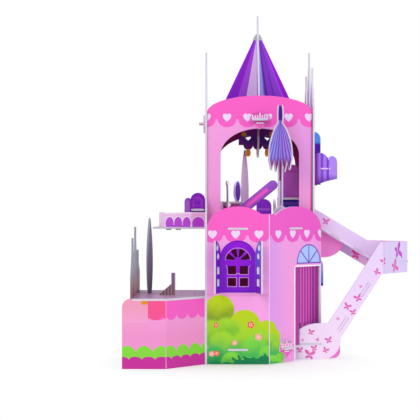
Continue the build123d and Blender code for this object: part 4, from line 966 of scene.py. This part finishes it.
canopy_left = canopy_print("canopy_left", CANOPY_TURN, "canopy", "canopy_deep", "canopy_light", "pole")
canopy_right = canopy_print("canopy_right", CANOPY_TURN + 90, "canopy_side", "canopy_shade",
                            "canopy_glow", "pole_side")
paint("canopy_front", (outward(CANOPY_TURN), canopy_left, canopy_left))
paint("canopy_cross", (outward(CANOPY_TURN + 90), canopy_right, canopy_right))

# %% [markdown]
# The bay on the right wall is one board folded round five faces. Its print is draped like cloth, with
# soft pleats on the first face and a plain light fall on the turned ones, and dark at every fold.

# %% Bay
bay_low = reach("bay")[0]
BAY_TURNS = (0, 48.24, 90, 131.76, 180)
DRAPE = 7.4


def drape_print(name, turn):
    sheet = Print(name, "bay", bay_low.x, bay_low.y + HALF_BOARD, turn)
    sheet.pleats("bay_dark", DRAPE, 0.4, 1.0, strength=0.85)
    sheet.pleats("bay_light", DRAPE, 0.35, 0.0, strength=0.7).fade("purple_deep", 240, 226)
    if turn == 0:
        sheet.fade("wine", 7.5, 1, across=True).box("bay_dark", 9.5, 18.9, 245.2, 246)
        sheet.box("lilac_pale", 9.5, 18.9, 246, 248, 0.9)
    else:
        sheet.fade("bay_light", 13, 16, across=True).fade("bay_dark", 240, 230)
        sheet.box("lilac_pale", 12, 16, 246, 248, 0.9)
    return sheet.ready()


bay_back = plain("bay_back", "purple_deep")
bay_sides = [(outward(turn), drape_print("bay_print_%d" % step, turn), bay_back)
             for step, turn in enumerate(BAY_TURNS)]
paint("bay", *bay_sides, fold=plain("bay_fold", "bay_dark"))

# %% [markdown]
# The shutters stand out at right angles to the wall, so the front view sees them full. The upper pair is
# blue over deep purple, the lower pair pale blue with an indigo foot.

# %% Shutters
upper_print = Print("upper_shutter_print", "awning").fade("awning_deep", 283, 279)
upper_shutter = upper_print.fade("purple_deep", 273, 268).ready()
lower_print = Print("lower_shutter_print", "sky").fade("blue", 124, 104)
lower_shutter = lower_print.box("indigo", 90, 130, 90, 97).ready()
for place in ("front", "back"):
    paint("upper_shutter_" + place, (FRONT, upper_shutter, upper_shutter))
    paint("lower_shutter_" + place, (FRONT, lower_shutter, lower_shutter))

# %% [markdown]
# The balcony's rail is pale with purple arches, each with a thin white outline. An arch could be cut
# out, but the real one is only printed, so it is a repeated disc over a box: first a little larger in
# white, then in purple. The corner face has one wide arch of its own.

# %% Balcony rail
RAIL_Y = reach("balcony_rail")[0].y + HALF_BOARD
RAIL_FOOT, ARCH_FOOT, ARCH_TOP, RAIL_TOP = 168, 173, 188, 190
ARCH_SPRING = 175


def arcade(name, turn, x, first, pitch, arches):
    """Purple arches with a white outline, under a pale rail, and painted shade on the tabs below the floor.
    """
    sheet = Print(name, "rail", x, RAIL_Y, turn).box("white", -90, 90, ARCH_TOP, RAIL_TOP)
    start = first - pitch / 2
    end = first + (arches - 0.5) * pitch
    field = sheet.box_mask(start, end, RAIL_FOOT, ARCH_TOP)
    for colour, rim in (("white", 1.0), ("arch", 0.0)):
        half_size = (pitch * 0.47 + rim, 8.4 + rim)
        arch = sheet.inside(sheet.place((first, ARCH_SPRING), half_size, (pitch, ONCE)))
        sheet.lay(sheet.maths("MULTIPLY", arch, field), colour)
    sheet.box("arch", start + 0.8, end - 0.8, RAIL_FOOT, ARCH_FOOT)
    # Painted shade: dark plum on the rail's tabs where they poke out under the balcony floor.
    return sheet.box("plum_dark", -90, 90, 150, RAIL_FOOT).ready()


rail_back = plain("rail_back", "rail")
side_turn = math.degrees(math.atan2(-30.4, 7))
corner_turn = math.degrees(math.atan2(7, 17.4))
paint("balcony_rail",
      (outward(side_turn), plain("rail_side", "rail"), rail_back),
      (FRONT, arcade("rail_print", 0, -94.9, 6.9, 11.2, 3), rail_back),
      (outward(corner_turn), arcade("rail_print_end", corner_turn, -59.1, 8.8, 18, 1), rail_back),
      fold=plain("rail_fold", "lilac_pale"))

# %% [markdown]
# The seat is a dark purple board with a lighter arched panel and a small dark crown on it. One side of
# it is folded back. Its edges show dark, so they get the seat's ink too.

# %% Balcony seat
SEAT_TURN = -67.9
CROWN_U, CROWN_V = 9.2, 203.6

seat_print = Print("seat_print", "seat_dark", -61, 101)
seat_print.disc("seat_light", (9.8, 200), (7.4, 10.5)).box("seat_light", 2.4, 17.2, 176, 200)
for point in (-1, 0, 1):
    seat_print.disc("seat_dark", (CROWN_U + point * 2.9, CROWN_V), (1.35, 4.0))
seat_print.box("seat_dark", 5.0, 13.4, 199.4, 202.4).box("seat_dark", 4.6, 13.8, 195.6, 197.4)
seat_back = plain("seat_back", "seat_dark")
seat_side = Print("seat_side", "seat_light", turn=SEAT_TURN).fade("seat_dark", 203, 206).ready()
paint("balcony_seat", (FRONT, seat_print.ready(), seat_back), (outward(SEAT_TURN), seat_side, seat_back),
      fold=seat_back, edge=plain("seat_edge", "seat_dark"))
board_top = plain("seat_board_top", "seat_light", flat=True)
paint("balcony_seat_board", (UP, board_top, board_top))

# %% [markdown]
# The left wing is a low pink wall with its own band, a hedge and a magenta foot. At its left end the
# band gives way to a salmon corner and a gold window edge. The salmon is a fade inside a field.

# %% Wing walls
WING_HEM = 66
WING_TOP = 90
WING_FOOT = 11
WING_CORNER = 31.3
WING_LOBE = 18
wing_low = reach("wing_front_wall")[0]


def wing_sheet(name, turn, x, low, high):
    sheet = Print(name, "rose", x, wing_low.y + HALF_BOARD, turn).fade("body_high", 40, 85)
    sheet.box("hot", low, high, WING_HEM, WING_TOP)
    sheet.disc("hot", (low + 8, WING_HEM), (9, 7), (WING_LOBE, ONCE))
    sheet.disc("leaf", (low + 6, 14), (12, 14), (21, ONCE))
    sheet.box("magenta", low, high, -1, WING_FOOT)
    return sheet.disc("magenta", (low, WING_FOOT), (8, 4), (16, ONCE))


wing_front = wing_sheet("wing_front_print", 0, wing_low.x, 0, 60)
wing_front.box("body_high", 0, WING_CORNER, 56, WING_TOP)
wing_front.fade("salmon", 44, 74, field=wing_front.box_mask(0, WING_CORNER, 40, WING_TOP))
wing_front.box("gold", 23.5, WING_CORNER, 78, 85).box("raspberry", WING_CORNER, 60, WING_HEM, WING_TOP)
for lobe in (40, 57.6):
    wing_front.disc("raspberry", (lobe, WING_HEM), (8.8, 7))
wing_turned = wing_sheet("wing_turned_print", 45, -88.25, 0, 70).ready()
wing_inner = plain("wing_inside", "mauve")
paint("wing_front_wall", (FRONT, wing_front.ready(), wing_inner), (outward(45), wing_turned, wing_inner),
      fold=plain("wing_fold", "rose"))

# %% [markdown]
# The wing's side wall rises into three slim spires that turn from rust to steel. Seen from the front
# only its cut edge shows, so the edge gets the same change of ink as the sides.

# %% Wing spires and deck
SPIRE_FOOT = 84
WING_SPIRES = (-21.6, 32, 86)


def spire_side(name, line_top):
    sheet = Print(name, "rose", turn=90)
    sheet.box("hot", -60, 120, WING_HEM, SPIRE_FOOT).disc("hot", (0, WING_HEM), (9, 7), (WING_LOBE, ONCE))
    sheet.box("rust", -60, 120, SPIRE_FOOT, 200)
    sheet.fade("steel", 96, 118, field=sheet.box_mask(-60, 120, SPIRE_FOOT, 200))
    sheet.box("magenta", -60, 120, -1, WING_FOOT).disc("magenta", (0, WING_FOOT), (8, 4), (16, ONCE))
    for middle in WING_SPIRES:
        sheet.box("slate", middle - 7, middle - 5.5, SPIRE_FOOT, line_top)
        sheet.box("slate", middle + 5.5, middle + 7, SPIRE_FOOT, line_top)
    return sheet.ready()


spire_edge = Print("spire_edge", "rust").fade("steel", 90, 125).ready(roughness=0.6)
paint("wing_side_wall", (LEFT, spire_side("wing_side_print", 128), spire_side("wing_side_inner", 118)),
      edge=spire_edge)
deck_print = Print("deck_print", "deck", flat=True)
deck_wave = deck_print.maths("PINGPONG", deck_print.u, 9.0)
deck_print.lay(deck_print.maths("LESS_THAN", deck_wave, 0.6), "mauve", 0.6)
paint("wing_deck", (UP, deck_print.ready(), under_face))

# %% [markdown]
# A slim tree stands on the deck and another in the tower room, each a leaf-shaped board with fine
# upright strokes, darker at its foot. The stair piece beside the first is rusty at its foot.

# %% Trees and stair
TREE_TURN = 72
ROOM_TREE_TURN = 62


def tree_print(node, turn, dark, light):
    middle, foot = middle_of(node), reach(node)[0].z
    sheet = Print(node + "_print", light, middle.x, middle.y, turn).fade(dark, foot + 90, foot)
    return sheet.stripes("grey_lilac", 3.4, 0.18, strength=0.3, lean=0.06).ready(roughness=0.45)


garden_side = tree_print("garden_tree", TREE_TURN, "slate", "steel")
paint("garden_tree", (outward(TREE_TURN), garden_side, garden_side), edge=plain("tree_edge", "steel"))
room_tree = tree_print("room_tree", ROOM_TREE_TURN, "mauve_pink", "ash")
paint("room_tree", (outward(ROOM_TREE_TURN), room_tree, room_tree), edge=plain("room_tree_edge", "ash"))
stair_face = Print("stair_print", "mauve").fade("rust", 110, 90).stripes("grey_mauve", 4, 0.3).ready()
paint("stair_side", (FRONT, stair_face, stair_face))

# %% [markdown]
# The tower room is furnished with small flat boards. Each has two trim lines, near its top and near the
# floor, so one helper prints them all from a short list of inks and sizes.

# %% Furniture
ROOM_FLOOR = 170.25
TRIM_INSET = 2
# Node, ink, trim ink, turn, width and the height that the upper trim hangs from.
FURNITURE = (
    ("lounge_leg", "purple", "purple_mid", 0, 20, 198),
    ("dresser_front", "rose", "magenta", 0, 27, 201),
    ("footstool", "rail", "arch", 20, 14, 200),
    ("bench_front", "indigo", "violet", 0, 32, 206),
    ("bench_side", "purple", "magenta", 90, 20, 200),
    ("wardrobe", "wardrobe", "berry", 0, 21, 250),
    ("flower", "white", "rose", 60, 6, 232),
)

for node, base, trim, turn, width, top in FURNITURE:
    trim_end = width / 2 - TRIM_INSET
    spot = middle_of(node)
    furniture = Print(node + "_print", base, spot.x, spot.y, turn)
    furniture.box(trim, -trim_end, trim_end, top - 6, top - 3)
    face = furniture.box(trim, -trim_end, trim_end, ROOM_FLOOR + 3, ROOM_FLOOR + 5).ready()
    paint(node, (outward(turn), face, face))
table_face = plain("table_top", "lilac_pale", flat=True)
for node in ("dresser_top", "bench_top"):
    paint(node, (UP, table_face, table_face))

# %% [markdown]
# Two pieces have prints of their own: the lounge has a slanting cushion in three inks, one inside the
# other, and the dresser's mirror has a dark oval glass. The glass is only ink, a little smoother.

# %% Lounge and mirror
CUSHION, CUSHION_TURN = (28, 209), 39.5
MIRROR_TURN = 62
mirror_spot = middle_of("dresser_mirror")

lounge_print = Print("lounge_print", "lounge", 0, 108)
for colour, half_length, half_width in (("purple_mid", 22, 4.6), ("orchid", 19, 3.4), ("hot", 17, 1.8)):
    lounge_print.line(colour, CUSHION, half_length, half_width, CUSHION_TURN)
lounge_face = lounge_print.ready()
paint("lounge_board", (FRONT, lounge_face, lounge_face))
mirror_print = Print("mirror_print", "periwinkle", mirror_spot.x, mirror_spot.y, MIRROR_TURN)
mirror_face = mirror_print.disc("purple_deep", (0, 218), (6.5, 13)).ready(roughness=0.15)
paint("dresser_mirror", (outward(MIRROR_TURN), mirror_face, mirror_face))

# %% [markdown]
# The lamp under the ceiling is two crossed boards in wine, with dark bowls, gold knobs and bulbs that
# are printed a warm orange. They don't shine: the room is lit by a small lamp of the studio instead.

# %% Chandelier


def chandelier_print(name, turn):
    sheet = Print(name, "wine", TOWER_X, TOWER_Y, turn)
    for side in (-1, 1):
        sheet.disc("purple_deep", (side * 13, 289), (10, 8))
    sheet.box("glow", -30, 30, 255, 275.5)
    for side in (-1, 1):
        sheet.disc("gold", (side * 19, 296), (3.5, 3.5))
    return sheet.ready()


paint("chandelier_front", (FRONT, chandelier_print("lamp_front", 0), chandelier_print("lamp_back", 0)))
paint("chandelier_cross", (LEFT, chandelier_print("lamp_left", 90), chandelier_print("lamp_right", 90)))

# %% [markdown]
# The castle stands on a pale floor. A floor this large would end in a horizon, so it turns into plain
# white light a little way from the castle: near it the floor still takes the shadow. The tools of the
# sheet serve here too, with the distance from the castle as the mask.

# %% Floor
FLOOR_MIDDLE = (0, 30)
SHADOW_END, WHITE_START = 30, 180

bpy.ops.object.select_all(action="DESELECT")
bpy.ops.mesh.primitive_plane_add(size=12.0, location=(0, 0, start_low.z - 0.0004))
floor = bpy.context.active_object
floor.name = "studio_floor"
floor_sheet = Print("studio_floor_paint", "white", flat=True)
floor_sheet.shader.inputs["Base Color"].default_value = (0.95, 0.945, 0.95, 1)
floor_sheet.shader.inputs["Roughness"].default_value = 0.7
distance = floor_sheet.measure("LENGTH", floor_sheet.place(FLOOR_MIDDLE, (1, 1)))
white_light = floor_sheet.add("ShaderNodeEmission")
white_light.inputs["Color"].default_value = (1, 1, 1, 1)
floor_mix = floor_sheet.add("ShaderNodeMixShader")
floor_sheet.put(floor_mix.inputs["Fac"], floor_sheet.ramp(distance, SHADOW_END, WHITE_START))
floor_sheet.put(floor_mix.inputs[1], floor_sheet.shader.outputs[0])
floor_sheet.put(floor_mix.inputs[2], white_light.outputs[0])
floor_sheet.put(floor_sheet.tree.nodes["Material Output"].inputs["Surface"], floor_mix.outputs[0])
floor.data.materials.append(floor_sheet.material)
print("floor:", floor.name, "white from", WHITE_START, "mm")

# %% [markdown]
# The background is white for the camera and for reflections, while the castle itself gets a softer
# light from it. More light on everything would bleach the pinks, so the Light Path node tells the two
# apart.

# %% World
SOFT_STRENGTH = 0.5

world = bpy.data.worlds.new("studio")
bpy.context.scene.world = world
world.use_nodes = True
studio = world.node_tree
studio.nodes.clear()
rays = studio.nodes.new("ShaderNodeLightPath")
seen = studio.nodes.new("ShaderNodeBackground")
seen.inputs["Color"].default_value = (1, 1, 1, 1)
soft = studio.nodes.new("ShaderNodeBackground")
soft.inputs["Color"].default_value = (0.98, 0.98, 1.0, 1)
soft.inputs["Strength"].default_value = SOFT_STRENGTH
seen_rays = rays.outputs["Is Camera Ray"]
for kind in ("Is Transmission Ray", "Is Glossy Ray"):
    either = studio.nodes.new("ShaderNodeMath")
    either.operation = "MAXIMUM"
    studio.links.new(seen_rays, either.inputs[0])
    studio.links.new(rays.outputs[kind], either.inputs[1])
    seen_rays = either.outputs[0]
choose = studio.nodes.new("ShaderNodeMixShader")
studio.links.new(seen_rays, choose.inputs["Fac"])
studio.links.new(soft.outputs[0], choose.inputs[1])
studio.links.new(seen.outputs[0], choose.inputs[2])
studio.links.new(choose.outputs[0], studio.nodes.new("ShaderNodeOutputWorld").inputs["Surface"])
print("world:", world.name, "soft light", SOFT_STRENGTH)

# %% [markdown]
# Three large lamps light the castle evenly: a key from the left, a fill from the right and a top lamp.
# Card walls would leave the rooms dark, so one small lamp stands in each storey.

# %% Lamps
CASTLE_MIDDLE = (0.03, 0.08, 0.2)
# Name, place, what it points at, size in metres and power in watts.
LAMPS = (
    ("key", (-1.0, -1.6, 1.4), CASTLE_MIDDLE, 1.2, 17),
    ("fill", (1.5, -1.2, 0.8), CASTLE_MIDDLE, 1.4, 12),
    ("top", (0.1, 0.3, 1.9), CASTLE_MIDDLE, 1.4, 9),
    ("room", (0.02, 0.1, 0.155), (0.02, 0.12, 0.0), 0.08, 0.035),
    ("tower_room", (0.03, 0.12, 0.262), (0.03, 0.14, 0.17), 0.08, 0.06),
)

for name, place, aim, size, power in LAMPS:
    bpy.ops.object.light_add(type="AREA", location=place)
    light = bpy.context.active_object
    light.name = name
    light.data.size = size
    light.data.energy = power
    light.rotation_euler = (Vector(aim) - Vector(place)).to_track_quat("-Z", "Y").to_euler()
    print("lamp:", name, power, "W")

# %% [markdown]
# The camera looks at the castle as the photograph does: level, from the front and a little to the left,
# with a long lens. Standard keeps the inks as they are written.

# %% Camera
CAMERA_PLACE = (-0.035, -1.5, 0.1925)

bpy.ops.object.camera_add(location=CAMERA_PLACE, rotation=(math.radians(90), 0, 0))
camera = bpy.context.active_object
camera.name = "photo_camera"
camera.data.sensor_width = 36.0
camera.data.lens = 102.86
bpy.context.scene.camera = camera
bpy.context.scene.view_settings.view_transform = "Standard"
print("camera:", CAMERA_PLACE, "lens", round(camera.data.lens, 2), "mm")

# %% [markdown]
# Prints add nothing to the castle's size, so its box should be the same as at the start.
